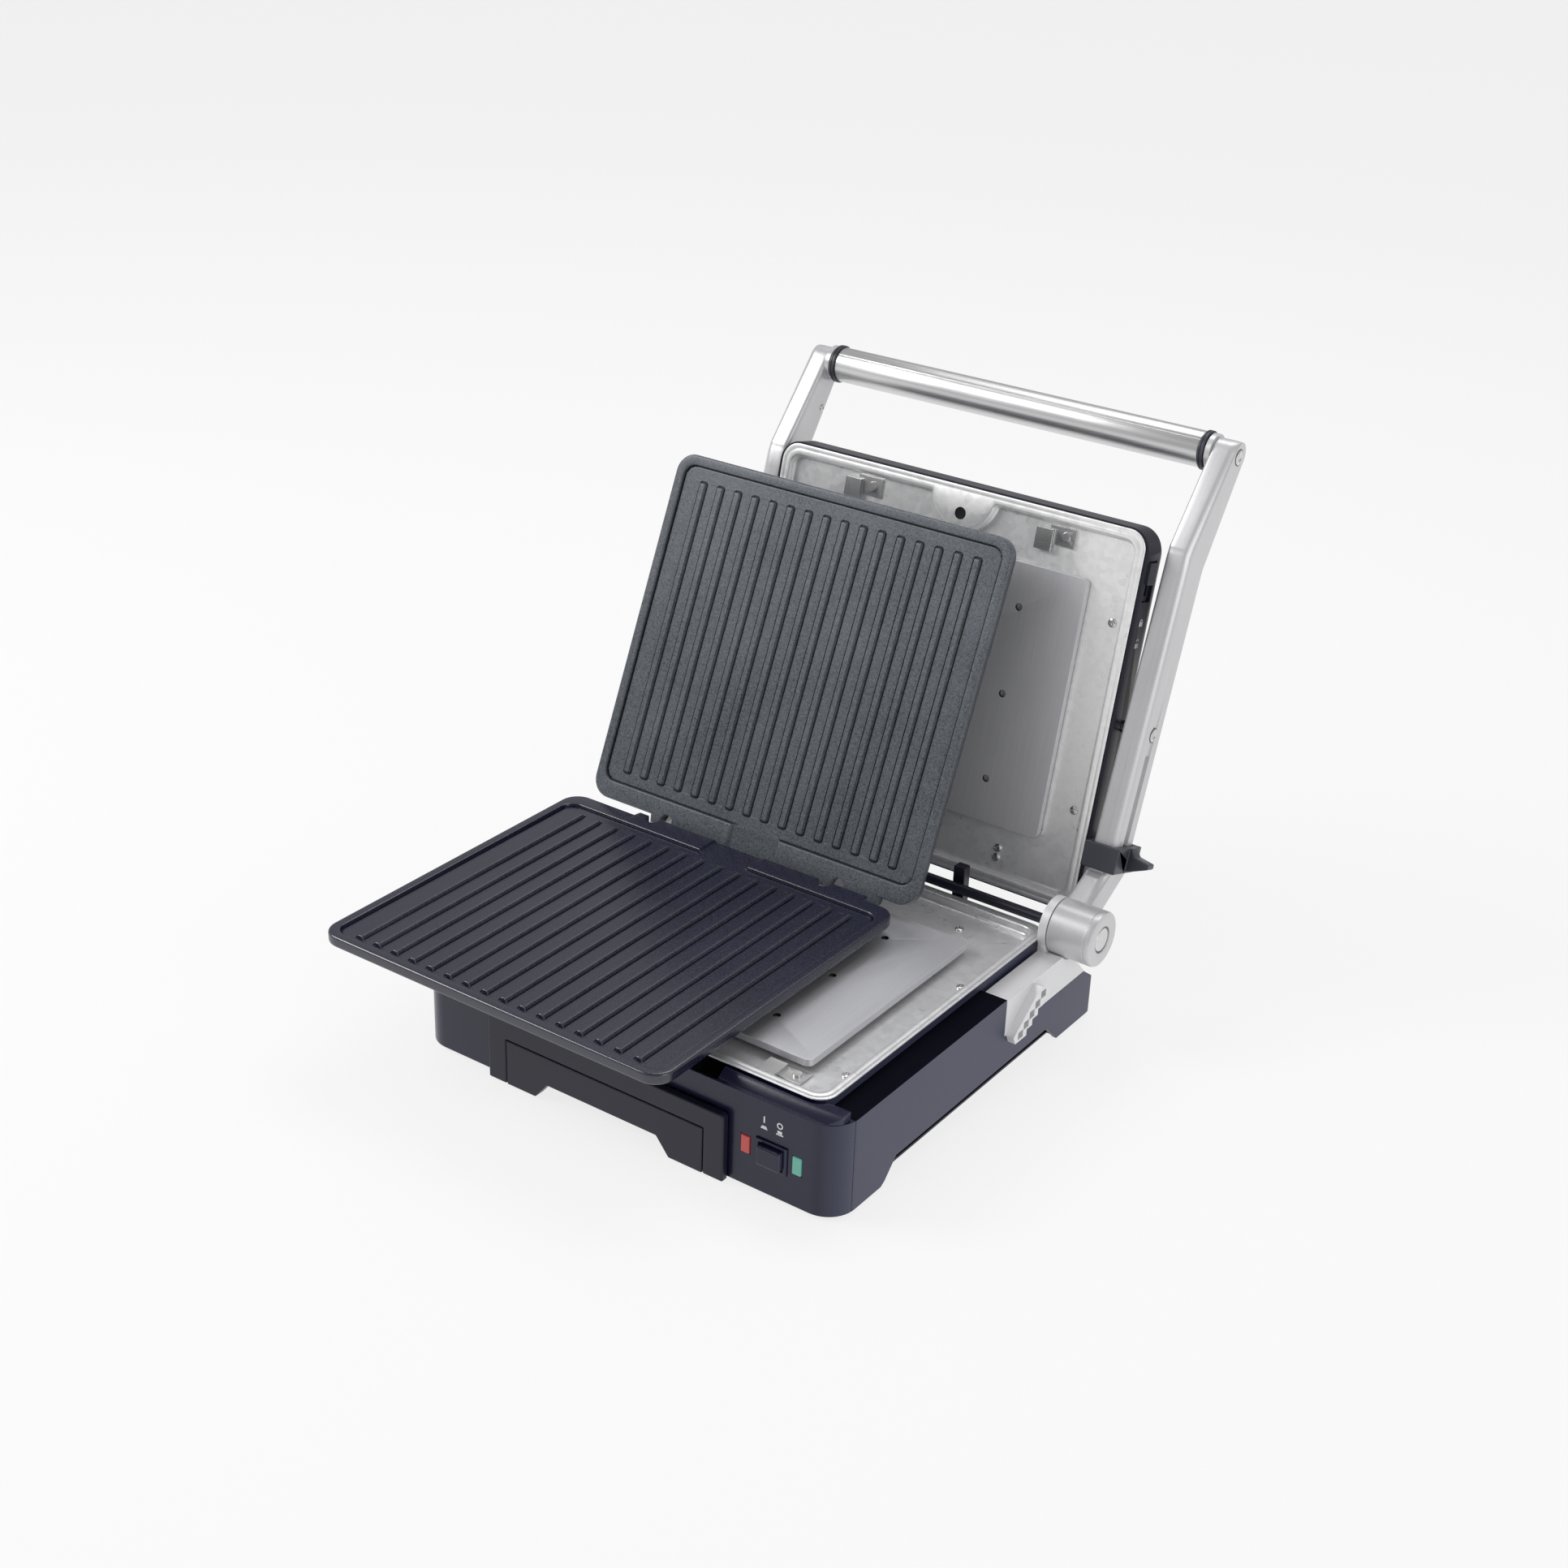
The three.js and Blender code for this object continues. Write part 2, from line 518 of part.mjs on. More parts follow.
const makeArm = (slotted) => {
  const body = join(runX(armOutline(), armInnerX, armOuterX), rodX(barrelSplitX + runGap, barrelOuterX,
    hingeY, hingeZ, barrelR, 28), rodX(armInnerX, armOuterX, handleY, handleZ, armEndR, 20),
  rodX(armInnerX - handleBossLen, armInnerX + 1, handleY, handleZ, handleR, 24));
  const holes = [rodX(100, barrelOuterX + 9, hingeY, hingeZ, pinHoleR, 16),
    rodX(barrelOuterX - 3, barrelOuterX + 5, hingeY, hingeZ, 8.4 + gap, 20),
    rodX(100, 220, handleY, handleZ, handleCoreR + gap, 12),
    rodX(armOuterX - 3, 220, handleY, handleZ, 6 + gap, 16),
    rodX(100, 220, floatY, floatZ, floatPinR + gap, 14),
    rodX(armOuterX - 2, 220, floatY, floatZ, 5.5 + gap, 16)];
  holes.push(rodX(armInnerX - 5, barrelSplitX + runGap, hingeY, hingeZ, barrelR + 0.8, 28));
  if (slotted) {
    holes.push(runX([along(slotFrom, slotBack - slotWide / 2), along(slotTo, slotBack - slotWide / 2),
      along(slotTo, slotBack + slotWide / 2), along(slotFrom, slotBack + slotWide / 2)],
    armOuterX - 5, armOuterX + 5));
  }
  return cut(body, holes);
};
add('right_arm', makeArm(true), satinSilver());
add('left_arm', mirrorX(makeArm(false)), satinSilver());

// hinge pins with round caps sunk in the barrel ends
const hingePin = () => join(rodX(barrelInnerX + gap, barrelOuterX - 1, hingeY, hingeZ, pinR, 16),
  rodX(barrelOuterX - 3 + gap, barrelOuterX - 0.6, hingeY, hingeZ, 8.4, 20));
add('right_hinge_pin', hingePin(), steel());
add('left_hinge_pin', mirrorX(hingePin()), steel());

// float pivots that carry the lid in the yoke
const lidCaseHalf = lidPanHalfWidth + lidSide;
const floatPin = () => join(rodX(lidCaseHalf - 7, armOuterX - 0.6, floatY, floatZ, floatPinR, 14),
  rodX(armOuterX - 2 + gap, armOuterX - 0.4, floatY, floatZ, 5.5, 16));
add('right_float_pin', floatPin(), steel());
add('left_float_pin', mirrorX(floatPin()), steel());

// handle: a steel tube on a core rod, between two dark collars
const collarOuterX = armInnerX - handleBossLen - gap;
const collarX = collarOuterX - collarLen;
add('handle_tube', cut(rodX(-collarX + gap, collarX - gap, handleY, handleZ, handleR, 32),
  rodX(-200, 200, handleY, handleZ, handleR - 1.5, 24)), steel());
const collar = () => cut(rodX(collarX, collarOuterX, handleY, handleZ, collarR, 28),
  rodX(100, 200, handleY, handleZ, handleCoreR + gap, 12));
add('right_handle_collar', collar(), slate());
add('left_handle_collar', mirrorX(collar()), slate());
add('handle_core_rod', join(rodX(-armOuterX + 0.6, armOuterX - 0.6, handleY, handleZ, handleCoreR, 12),
  [-1, 1].map((s) => rodX(s > 0 ? armOuterX - 3 + gap : -armOuterX + 0.4,
    s > 0 ? armOuterX - 0.4 : -armOuterX + 3 - gap, handleY, handleZ, 6, 16))), steel());

// height lock: a black sleeve round the right arm, with a pointed thumb lug and a key in the slot
const sleeveFrom = -21;
const sleeveTo = -3;
const sleeveSkin = 3.2;
const sleeve = () => {
  const quad = (d0, d1, b0, b1) => [along(d0, b0), along(d1, b0), along(d1, b1), along(d0, b1)];
  const outer = runX(quad(sleeveFrom, sleeveTo, -sleeveSkin - 1.5, armDepth + sleeveSkin),
    armInnerX - sleeveSkin, armOuterX + sleeveSkin + 2);
  const inner = runX(quad(sleeveFrom - 5, sleeveTo + 5, -runGap, armDepth + runGap),
    armInnerX - runGap, armOuterX + runGap);
  const key = runX(quad(slotFrom + runGap, slotFrom + 9, slotBack - slotWide / 2 + runGap,
    slotBack + slotWide / 2 - runGap), armOuterX - 4, armOuterX + 1);
  const x1 = armOuterX + sleeveSkin + 1.9;
  const lug = runY([[x1 - 1, -8], [x1 + 5, -6], [x1 + 16, -1.5], [x1 + 16, 2], [x1 + 5, 4], [x1 + 2, 9],
    [x1 - 1, 9]], -5, 5);
  const [ly, lz] = along((sleeveFrom + sleeveTo) / 2, armDepth / 2 + 3);
  return join(cut(outer, inner), key, lug.rotate([-armTilt, 0, 0]).translate([0, ly, lz]));
};
add('height_lock_slider', sleeve(), slate());

// ---------------------------------------------------------------- lid casing
// closed solid through a list of outlines with equal point counts
const loft = (levels) => {
  const count = levels[0].points.length;
  const positions = levels.flatMap(({ points, z }) => points.flatMap(({ x, y }) => [x, y, z]));
  const index = [];
  for (let k = 0; k + 1 < levels.length; k += 1) {
    for (let i = 0; i < count; i += 1) {
      const a = k * count + i;
      const b = k * count + ((i + 1) % count);
      index.push(a, b, a + count, b, b + count, a + count);
    }
  }
  const cap = THREE.ShapeUtils.triangulateShape(levels[0].points, []);
  const last = (levels.length - 1) * count;
  cap.forEach(([a, b, c]) => index.push(a, c, b, last + a, last + b, last + c));
  const g = new THREE.BufferGeometry();
  g.setAttribute('position', new THREE.Float32BufferAttribute(positions, 3));
  g.setIndex(index);
  return toSolid(g);
};
const ringPoints = (x0, x1, y0, y1, r, segments = 5) => {
  const p = roundRect(x0, x1, y0, y1, r).getPoints(segments);
  const seen = [];
  p.forEach((q) => { if (!seen.some((o) => o.distanceTo(q) < 1e-4)) seen.push(q); });
  return seen;
};
const caseY0 = lidPanStart - lidEnd;
const caseY1 = lidPanStart + panDepth + lidEnd;
const caseTopZ = -lidPanOffset - panSheet - gap;
const caseBackZ = -lidPanOffset - lidDeep;
const caseRing = (inset, z) => ({ z, points: ringPoints(-lidCaseHalf + inset, lidCaseHalf - inset,
  caseY0 + inset, caseY1 - inset, lidCornerR) });
const lockY0 = 220;
const lockY1 = 244;
const lockZ = -lidPanOffset - 11;
const caseShell = () => {
  const outer = loft([caseRing(12, caseBackZ), caseRing(3, caseBackZ + 8), caseRing(0, caseBackZ + 16),
    caseRing(0, caseTopZ)]);
  const inner = loft([caseRing(15, caseBackZ + 2.5), caseRing(6, caseBackZ + 9), caseRing(2.8, caseBackZ + 16),
    caseRing(2.8, caseTopZ + 5)]);
  const pinHoles = rodX(-300, 300, floatAt, -floatBehind, floatPinR + runGap, 14);
  const lockSlot = block(lidCaseHalf - 1.6, lidCaseHalf + 5, lockY0 - 2, lockY1 + 2, lockZ - 6, lockZ + 6);
  const lockKeyway = block(lidCaseHalf - 5, lidCaseHalf + 5, lockY0 + 2, lockY1 - 2, lockZ - 1.6, lockZ + 1.6);
  return cut(outer, inner, pinHoles, lockSlot, lockKeyway);
};
add('lid_casing', caseShell(), blackSatin(), lid);

// lid lock: a ribbed thumb piece in a shallow recess on the lid's right side
const lockTravel = 10;
const lockPiece = () => join(block(lidCaseHalf - 1.6 + runGap, lidCaseHalf + 1.6, lockY0 + lockTravel,
  lockY1 + 1, lockZ - 5, lockZ + 5), block(lidCaseHalf - 4.2, lidCaseHalf, lockY0 + lockTravel + 3.5,
  lockY1 - 3.5, lockZ - 1.2, lockZ + 1.2));
add('lid_lock_slider', lockPiece(), blackSatin(), lid);

// ---------------------------------------------------------------- screws and plate catches
const panScrew = (x, y, rimZ) => join(rodZ(x, y, rimZ - panRecess - 4, rimZ - panRecess + gap + 0.5, screwR, 8),
  rodZ(x, y, rimZ - panRecess + gap, rimZ - panRecess + 1.6, screwHeadR, 12));
lowerPanScrews.slice(0, 5).forEach(([x, y], i) => add(`lower_pan_screw_${i + 1}`, panScrew(x, y, panZ), steel()));
upperPanScrews.slice(0, 6).forEach(([x, y], i) => add(`upper_pan_screw_${i + 1}`,
  panScrew(x, y, -lidPanOffset), steel(), lid));

// sprung catch: a screwed foot with a flap that stands on the pan floor by the rim
const makeCatch = (x, y, floorZ) => join(
  block(x - 3, x + 17, y - 4, y + 9, floorZ + gap, floorZ + gap + 1.2),
  block(x - 12, x + 1, y - 9, y + 6, floorZ + 2.4, floorZ + 4.4),
  block(x - 3, x + 1, y - 4, y + 6, floorZ + gap, floorZ + 4.4),
  rodZ(x + 10, y + 3, floorZ + 1, floorZ + 3, screwHeadR, 12),
);
const upperCatchY = lidPanStart + panDepth - panRim - 13;
add('upper_left_catch', makeCatch(-80, upperCatchY, -lidPanOffset - panRecess), galvanised(), lid);
add('upper_right_catch', makeCatch(76, upperCatchY, -lidPanOffset - panRecess), galvanised(), lid);
const lowerCatchY = panFrontY + panRim + 11;
add('lower_left_catch', makeCatch(-106, lowerCatchY, panZ - panRecess), galvanised());
add('lower_right_catch', makeCatch(104, lowerCatchY, panZ - panRecess), galvanised());

// ---------------------------------------------------------------- removable grill plates
// modelled face up about the middle of the border's top; the hinge edge is at +Y
const drainX = 4;
const hookNotchX = [-70, 78];
const hookNotchR = 5.5;
const plateY = plateDepth / 2;
const plateX = plateWidth / 2;
const padDrop = plateTopZ - heaterZ - gap;      // border's top to the pad's underside
const makePlate = (frontGap) => {
  const level = (inset, z, r) => ({ z, points: ringPoints(-plateX + inset, plateX - inset,
    -plateY + inset, plateY - inset, r) });
  const body = loft([level(1.6, -plateRimThick, plateCornerR - 1.6), level(0, -plateRimThick + 2, plateCornerR),
    level(0, -1.6, plateCornerR), level(1.2, 0, plateCornerR - 1.2)]);
  const pad = rise(roundRect(-plateX + padInset, plateX - padInset, -plateY + padInset, plateY - padInset, 8),
    -padDrop, -plateRimThick + 0.5, 2);
  const floorTop = plateY - rearBorder;
  const floorCut = rise(roundRect(-plateX + plateBorder, plateX - plateBorder, -plateY + plateBorder,
    floorTop, plateCornerR - plateBorder + 2), -plateFloorDrop, 5, 3);
  const ledge = block(hookNotchX[0] - 14, hookNotchX[1] + 34, plateY - 2, plateY + hookLip,
    -plateRimThick + 0.6, -0.6);
  const drainCutout = block(drainX - drainGap / 2, drainX + drainGap / 2, floorTop - 1, plateY + hookLip + 1,
    -plateFloorDrop, 5);
  const notches = hookNotchX.map((x) => rodZ(x, plateY + 2, -plateRimThick - 20, 5, hookNotchR, 16));
  let plate = cut(join(body, pad, ledge), floorCut, drainCutout, notches);
  const ridgeFront = -plateY + plateBorder + frontGap;
  const ridgeRear = floorTop - ridgeRearGap;
  for (let i = 0; i < ridgeCount; i += 1) {
    const x = (i - (ridgeCount - 1) / 2) * ridgePitch;
    const f = ridgeFoot / 2;
    const t = ridgeTop / 2;
    const slope = f - t;
    const ridge = loft([
      { z: -plateFloorDrop - 1, points: chamferRect(x - f, x + f, ridgeFront, ridgeRear, 1.4).getPoints() },
      { z: -plateFloorDrop, points: chamferRect(x - f, x + f, ridgeFront, ridgeRear, 1.4).getPoints() },
      { z: -plateFloorDrop + ridgeHeight, points: chamferRect(x - t, x + t, ridgeFront + slope * 2,
        ridgeRear - slope * 2, 0.8).getPoints() },
    ]);
    plate = join(plate, ridge);
  }
  return plate;
};
const lowerPlate = add('lower_grill_plate', makePlate(ridgeFrontGap.lower), plateCoat());
lowerPlate.position.set(shiftX, seatY + shiftY, plateTopZ);

// shut, the upper plate faces down over the lower one; it opens about the pair's hinge line
shownUpper.position.set(shiftX, seatY + shiftY + plateHingeBehind, plateHingeZ);
shownUpper.rotation.x = -deg(90 + upperPlateLean);
const upperPlate = add('upper_grill_plate', mirrorX(makePlate(ridgeFrontGap.upper)), plateCoat(), shownUpper);
upperPlate.position.set(0, -plateHingeBehind, plateTopZ + plateFaceGap - plateHingeZ);
upperPlate.rotation.y = Math.PI;

// ---------------------------------------------------------------- front controls and drip tray
const bezelOutline = outline([
  [bezelLeft, baseUnderZ - 1.4], [bezelLeft, bezelTopZ - 2], [bezelLeft + 2, bezelTopZ],
  [bezelRight - 2, bezelTopZ], [bezelRight, bezelTopZ - 2], [bezelRight, baseUnderZ - 1.4],
  [trayRight + runGap, baseUnderZ - 1.4], [trayRight + runGap, trayTopZ + runGap],
  [trayLeft - runGap, trayTopZ + runGap], [trayLeft - runGap, baseUnderZ - 1.4],
]);
add('tray_bezel', runY(bezelOutline, baseFrontY - bezelProud, baseFrontY - gap), blackSatin());

// pull-out tray: its front has two legs and an arched grip between them
const gripLeft = -54;
const gripRight = 35;
const legInner = 10;
const trayFrontOutline = outline([
  [trayLeft, trayTopZ], [trayLeft, baseUnderZ - 1.4], [gripLeft - legInner, baseUnderZ - 1.4],
  [gripLeft, gripTopZ], [gripRight, gripTopZ], [gripRight + legInner, baseUnderZ - 1.4],
  [trayRight, baseUnderZ - 1.4], [trayRight, trayTopZ],
]);
const trayBoxTop = trayTopZ - 3;
const trayX0 = trayLeft + 6;
const trayX1 = trayRight - 6;
const trayBack = baseFrontY + trayDepth;
const drip = cut(join(runY(trayFrontOutline, baseFrontY - bezelProud, baseFrontY + wall - 0.4),
  block(trayX0, trayX1, baseFrontY, trayBack, trayFloorZ, trayBoxTop)),
block(trayX0 + trayWall, trayX1 - trayWall, baseFrontY + wall + trayWall, trayBack - trayWall,
  trayFloorZ + trayWall, trayBoxTop + 5));
add('drip_tray', drip, blackSatin());

const lampLens = (x) => join(block(x - lampWide / 2, x + lampWide / 2, baseFrontY - 0.8, baseFrontY + wall,
  lampZ - lampHigh / 2, lampZ + lampHigh / 2), block(x - 2, x + 2, baseFrontY + wall - 1, baseFrontY + wall + 8,
  lampZ - 3, lampZ + 3));
add('red_lamp', lampLens(redLampX), finish('#c83c3c', 0.3, 0));
add('green_lamp', lampLens(greenLampX), finish('#64aa96', 0.3, 0));

const frameX = buttonWide / 2 + buttonFrame - gap;
const frameZ = buttonHigh / 2 + buttonFrame - gap;
add('button_frame', cut(block(buttonX - frameX, buttonX + frameX, baseFrontY - 1.6, baseFrontY + wall + 1,
  buttonZ - frameZ, buttonZ + frameZ), block(buttonX - buttonWide / 2 - runGap, buttonX + buttonWide / 2
  + runGap, baseFrontY - 5, baseFrontY + 9, buttonZ - buttonHigh / 2 - runGap,
buttonZ + buttonHigh / 2 + runGap)), blackSatin());
const buttonTravel = 3;
add('power_button', block(buttonX - buttonWide / 2, buttonX + buttonWide / 2, baseFrontY - buttonProud,
  baseFrontY + 6, buttonZ - buttonHigh / 2, buttonZ + buttonHigh / 2), blackGloss());
add('power_switch', block(buttonX - 8, buttonX + 8, baseFrontY + 6 + buttonTravel + gap + 0.3,
  baseFrontY + 26, buttonZ - 9, buttonZ + 9), slate());

const shownBox = new THREE.Box3().setFromObject(press, true);
const shownMiddle = shownBox.getCenter(new THREE.Vector3());
press.position.set(-shownMiddle.x, -shownMiddle.y, 0);

export default press;
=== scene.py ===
# %% [markdown]
# # A panini press, opened, with its two ridged plates lifted off their seats
#
# The working model comes in as a fixed frame: solids, bodies and joints, in metres, +Z up.
# This lesson gives that frame its looks. Some pieces are new surfaces worked out with numpy,
# and the plain moulded ones are copies of the working solids with softened edges.

# %% Load the frame
import json
from math import cos, pi, radians, sin

import bmesh
import bpy
import numpy as np
from mathutils import Matrix, Vector

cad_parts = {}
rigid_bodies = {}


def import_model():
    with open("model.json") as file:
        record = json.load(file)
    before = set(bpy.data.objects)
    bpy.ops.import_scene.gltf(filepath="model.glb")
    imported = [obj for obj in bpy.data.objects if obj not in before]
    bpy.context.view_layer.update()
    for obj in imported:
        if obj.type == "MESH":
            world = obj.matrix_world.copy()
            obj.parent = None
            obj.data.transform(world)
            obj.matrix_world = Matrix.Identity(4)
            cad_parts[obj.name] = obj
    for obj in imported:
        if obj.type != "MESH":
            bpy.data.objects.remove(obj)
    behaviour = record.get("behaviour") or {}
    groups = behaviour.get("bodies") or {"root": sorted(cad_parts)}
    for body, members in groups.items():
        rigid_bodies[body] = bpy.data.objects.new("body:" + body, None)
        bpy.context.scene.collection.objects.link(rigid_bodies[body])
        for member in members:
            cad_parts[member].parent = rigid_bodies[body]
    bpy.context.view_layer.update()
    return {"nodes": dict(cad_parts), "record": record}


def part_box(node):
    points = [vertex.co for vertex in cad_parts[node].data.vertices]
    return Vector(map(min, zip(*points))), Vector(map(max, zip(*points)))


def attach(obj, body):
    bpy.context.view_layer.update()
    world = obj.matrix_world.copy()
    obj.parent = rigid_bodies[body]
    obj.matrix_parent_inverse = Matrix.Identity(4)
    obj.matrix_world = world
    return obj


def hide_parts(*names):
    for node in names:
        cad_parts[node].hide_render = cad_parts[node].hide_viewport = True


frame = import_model()
MM = 0.001
print("working solids:", len(frame["nodes"]))

# %% [markdown]
# Sizes in this lesson are millimetres from the base's own corner stone: a point on the
# tabletop, on the base's middle plane, 136 mm behind the front wall. The frame says where
# that point is, and the joints say where things turn.

# %% Places that the frame gives
JOINTS = {row["name"]: row for row in frame["record"]["behaviour"]["joints"]}
housing_low, housing_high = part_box("base_housing")
panel_low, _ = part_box("front_panel")
FRONT_Y = -136.0
DATUM = np.array([(housing_low[0] + housing_high[0]) / 2, panel_low[1] - FRONT_Y * MM, 0])
print("datum:", DATUM.round(4))


def from_datum(point):
    """A point in metres in the frame as millimetres from the datum."""
    return (np.array(point) - DATUM) / MM


hinge_y, hinge_z = from_datum(JOINTS["yoke_hinge"]["pos_m"])[1:]
float_y, float_z = from_datum(JOINTS["lid_float"]["pos_m"])[1:]
fold_x, fold_y, fold_z = from_datum(JOINTS["plate_fold"]["pos_m"])

# %% [markdown]
# ## Camera, floor and light
#
# The press is seen from its front right, from a little above, through a moderately long lens.
# The camera's three directions are worked out from the azimuth, the elevation and a small roll,
# so the only numbers here are the ones a lens on a stand would be set by.

# %% Camera
CAMERA = {"azimuth": 34.71, "elevation": 26.51, "roll": 2.03, "distance": 1.5725, "lens": 55.29,
          "target": (0.00226, 0.03257, 0.18125)}


def camera_axes(azimuth, elevation, roll):
    """Right, up and backward directions: backward points from the target to the camera, and
    right and up are turned together about it by the roll."""
    a, e, r = (radians(v) for v in (azimuth, elevation, roll))
    back = Vector((cos(e) * sin(a), -cos(e) * cos(a), sin(e)))
    level = Vector((cos(a), sin(a), 0))
    upright = back.cross(level)
    return level * cos(r) + upright * sin(r), upright * cos(r) - level * sin(r), back


def make_camera(target, distance, lens, azimuth, elevation, roll):
    """A camera whose matrix has the three directions as columns, distance back from the target."""
    right, up, back = camera_axes(azimuth, elevation, roll)
    camera = bpy.data.objects.new("camera", bpy.data.cameras.new("camera"))
    camera.data.lens = lens
    camera.data.sensor_width = 36
    turn = Matrix((right, up, back)).transposed().to_4x4()
    camera.matrix_world = Matrix.Translation(Vector(DATUM) + Vector(target) + back * distance) @ turn
    bpy.context.scene.collection.objects.link(camera)
    bpy.context.scene.camera = camera
    return camera


make_camera(**CAMERA)
bpy.context.scene.view_settings.view_transform = "Standard"
print("camera distance:", CAMERA["distance"])

# %% [markdown]
# The room is a pale sweep of floor under a large soft light. Brushed metal shows whatever
# surrounds it, so the sky has a few broad grey bands: without them a polished tube would
# turn into a flat white bar. The floor glows a little by itself, so the shadow on it stays faint.

# %% Floor, sky and lamps
SKY_BANDS = [(0.0, 0.9), (0.50, 0.9), (0.55, 0.36), (0.60, 0.70), (0.70, 1.0), (0.82, 0.8), (1.0, 0.6)]
FLOOR_GREY, FLOOR_GLOW, SKY_STRENGTH = 0.16, 0.80, 0.55


def make_floor(size=60.0):
    """A square of floor that glows by itself, so that the press hardly shadows it."""
    mesh = bpy.data.meshes.new("studio_floor")
    s = size
    mesh.from_pydata([(-s, -s, 0), (s, -s, 0), (s, s, 0), (-s, s, 0)], [], [(0, 1, 2, 3)])
    floor = bpy.data.objects.new("studio_floor", mesh)
    bpy.context.scene.collection.objects.link(floor)
    paint = bpy.data.materials.new("pale_floor")
    paint.use_nodes = True
    shader = paint.node_tree.nodes["Principled BSDF"]
    shader.inputs["Base Color"].default_value = (FLOOR_GREY, FLOOR_GREY, FLOOR_GREY, 1)
    shader.inputs["Roughness"].default_value = 0.9
    shader.inputs["Specular IOR Level"].default_value = 0.0
    shader.inputs["Emission Color"].default_value = (1, 1, 1, 1)
    shader.inputs["Emission Strength"].default_value = FLOOR_GLOW
    mesh.materials.append(paint)


def make_sky(bands, strength):
    """Grey by height: the Z of the view direction, from straight down to straight up, looks
    its grey up on a ramp."""
    world = bpy.data.worlds.new("studio_sky")
    world.use_nodes = True
    tree = world.node_tree
    coords = tree.nodes.new("ShaderNodeTexCoord")
    split = tree.nodes.new("ShaderNodeSeparateXYZ")
    scale = tree.nodes.new("ShaderNodeMapRange")
    ramp = tree.nodes.new("ShaderNodeValToRGB")
    scale.inputs["From Min"].default_value = -1
    scale.inputs["From Max"].default_value = 1
    tree.links.new(coords.outputs["Generated"], split.inputs[0])
    tree.links.new(split.outputs["Z"], scale.inputs["Value"])
    tree.links.new(scale.outputs["Result"], ramp.inputs["Fac"])
    stops = ramp.color_ramp.elements
    while len(stops) < len(bands):
        stops.new(0.5)
    for stop, (place, grey) in zip(stops, bands):
        stop.position = place
        stop.color = (grey, grey, grey * 1.01, 1)
    sky = tree.nodes["Background"]
    tree.links.new(ramp.outputs["Color"], sky.inputs["Color"])
    sky.inputs["Strength"].default_value = strength
    bpy.context.scene.world = world


def make_lamp(name, place, aim, size, power):
    """A softbox: a rectangle of light of power watts, turned to face aim."""
    light = bpy.data.lights.new(name, "AREA")
    light.shape = "RECTANGLE"
    light.size, light.size_y = size
    light.energy = power
    lamp = bpy.data.objects.new(name, light)
    lamp.location = place
    lamp.rotation_euler = (Vector(aim) - Vector(place)).to_track_quat("-Z", "Y").to_euler()
    bpy.context.scene.collection.objects.link(lamp)


make_floor()
make_sky(SKY_BANDS, SKY_STRENGTH)
MIDDLE = (0, 0, 0.15)
make_lamp("left_softbox", (-1.7, -1.1, 1.7), MIDDLE, (1.1, 1.1), 34)
make_lamp("top_softbox", (-0.1, 0.9, 2.0), MIDDLE, (1.6, 0.9), 14)
make_lamp("right_softbox", (2.1, -0.5, 0.8), MIDDLE, (0.9, 1.1), 9)
print("sky bands:", len(SKY_BANDS), "and lamps:", len(bpy.data.lights))

# %% [markdown]
# ## Shape helpers
#
# A **patch** is a pair: an array of points, and a list of faces. Most patches come from a grid
# of points, rings by points round each ring, so one helper joins neighbours into quads and
# closes the first and the last ring with a flat face.

# %% Grids into patches
def grid_faces(rings, around, closed=True):
    """Quads between neighbouring rings: corner k, i joins k, i+1, then k+1, i+1, then k+1, i."""
    k, i = np.meshgrid(np.arange(rings - 1), np.arange(around if closed else around - 1), indexing="ij")
    n = (i + 1) % around
    quads = np.stack([k * around + i, k * around + n, (k + 1) * around + n, (k + 1) * around + i], -1)
    return quads.reshape(-1, 4).tolist()


def loft(rings):
    """A closed patch through an array of rings, shaped rings x points x 3, with flat ends."""
    count, around = rings.shape[:2]
    faces = grid_faces(count, around)
    faces.append(list(range(around))[::-1])
    faces.append(list(range((count - 1) * around, count * around)))
    return rings.reshape(-1, 3), faces


def join(*patches):
    """Several patches as one: the faces of each are shifted past the points before it."""
    start = np.cumsum([0] + [len(p) for p, _ in patches])
    faces = [[v + s for v in face] for s, (_, fs) in zip(start, patches) for face in fs]
    return np.vstack([p for p, _ in patches]), faces


def move(patch, place):
    """The patch with a function of its points applied."""
    return place(patch[0]), patch[1]


def mirror(patch):
    """The patch reflected in X, with its faces turned round so that they still point out."""
    return patch[0] * (-1, 1, 1), [face[::-1] for face in patch[1]]


def arc(n, start=0.0, end=90.0):
    """n angles from start to end, in degrees in and radians out."""
    return np.radians(np.linspace(start, end, n))


def rounded_ring(x0, x1, y0, y1, r, side=(24, 24), corner=8):
    """A rounded rectangle, anticlockwise: four corner arcs of radius r, joined by sides that
    carry evenly spaced points. side gives the points on the X sides and on the Y sides."""
    sx, sy = side
    corners = [(x1 - r, y0 + r, -90), (x1 - r, y1 - r, 0), (x0 + r, y1 - r, 90), (x0 + r, y0 + r, 180)]
    arcs = [np.stack([cx + r * np.cos(arc(corner, a, a + 90)), cy + r * np.sin(arc(corner, a, a + 90))], 1)
            for cx, cy, a in corners]
    out = []
    for k, bend in enumerate(arcs):
        ahead = arcs[(k + 1) % 4][0]
        t = np.linspace(0, 1, (sy, sx)[k % 2] + 2)[1:-1, None]
        out += [bend, bend[-1] * (1 - t) + ahead * t]
    return np.vstack(out)


def at_height(ring, z):
    """A flat ring's points with z beside them."""
    return np.column_stack([ring, np.full(len(ring), z)])


def smoothstep(t):
    """0 below 0, 1 above 1, and 3t^2 - 2t^3 between."""
    t = np.clip(t, 0, 1)
    return t * t * (3 - 2 * t)


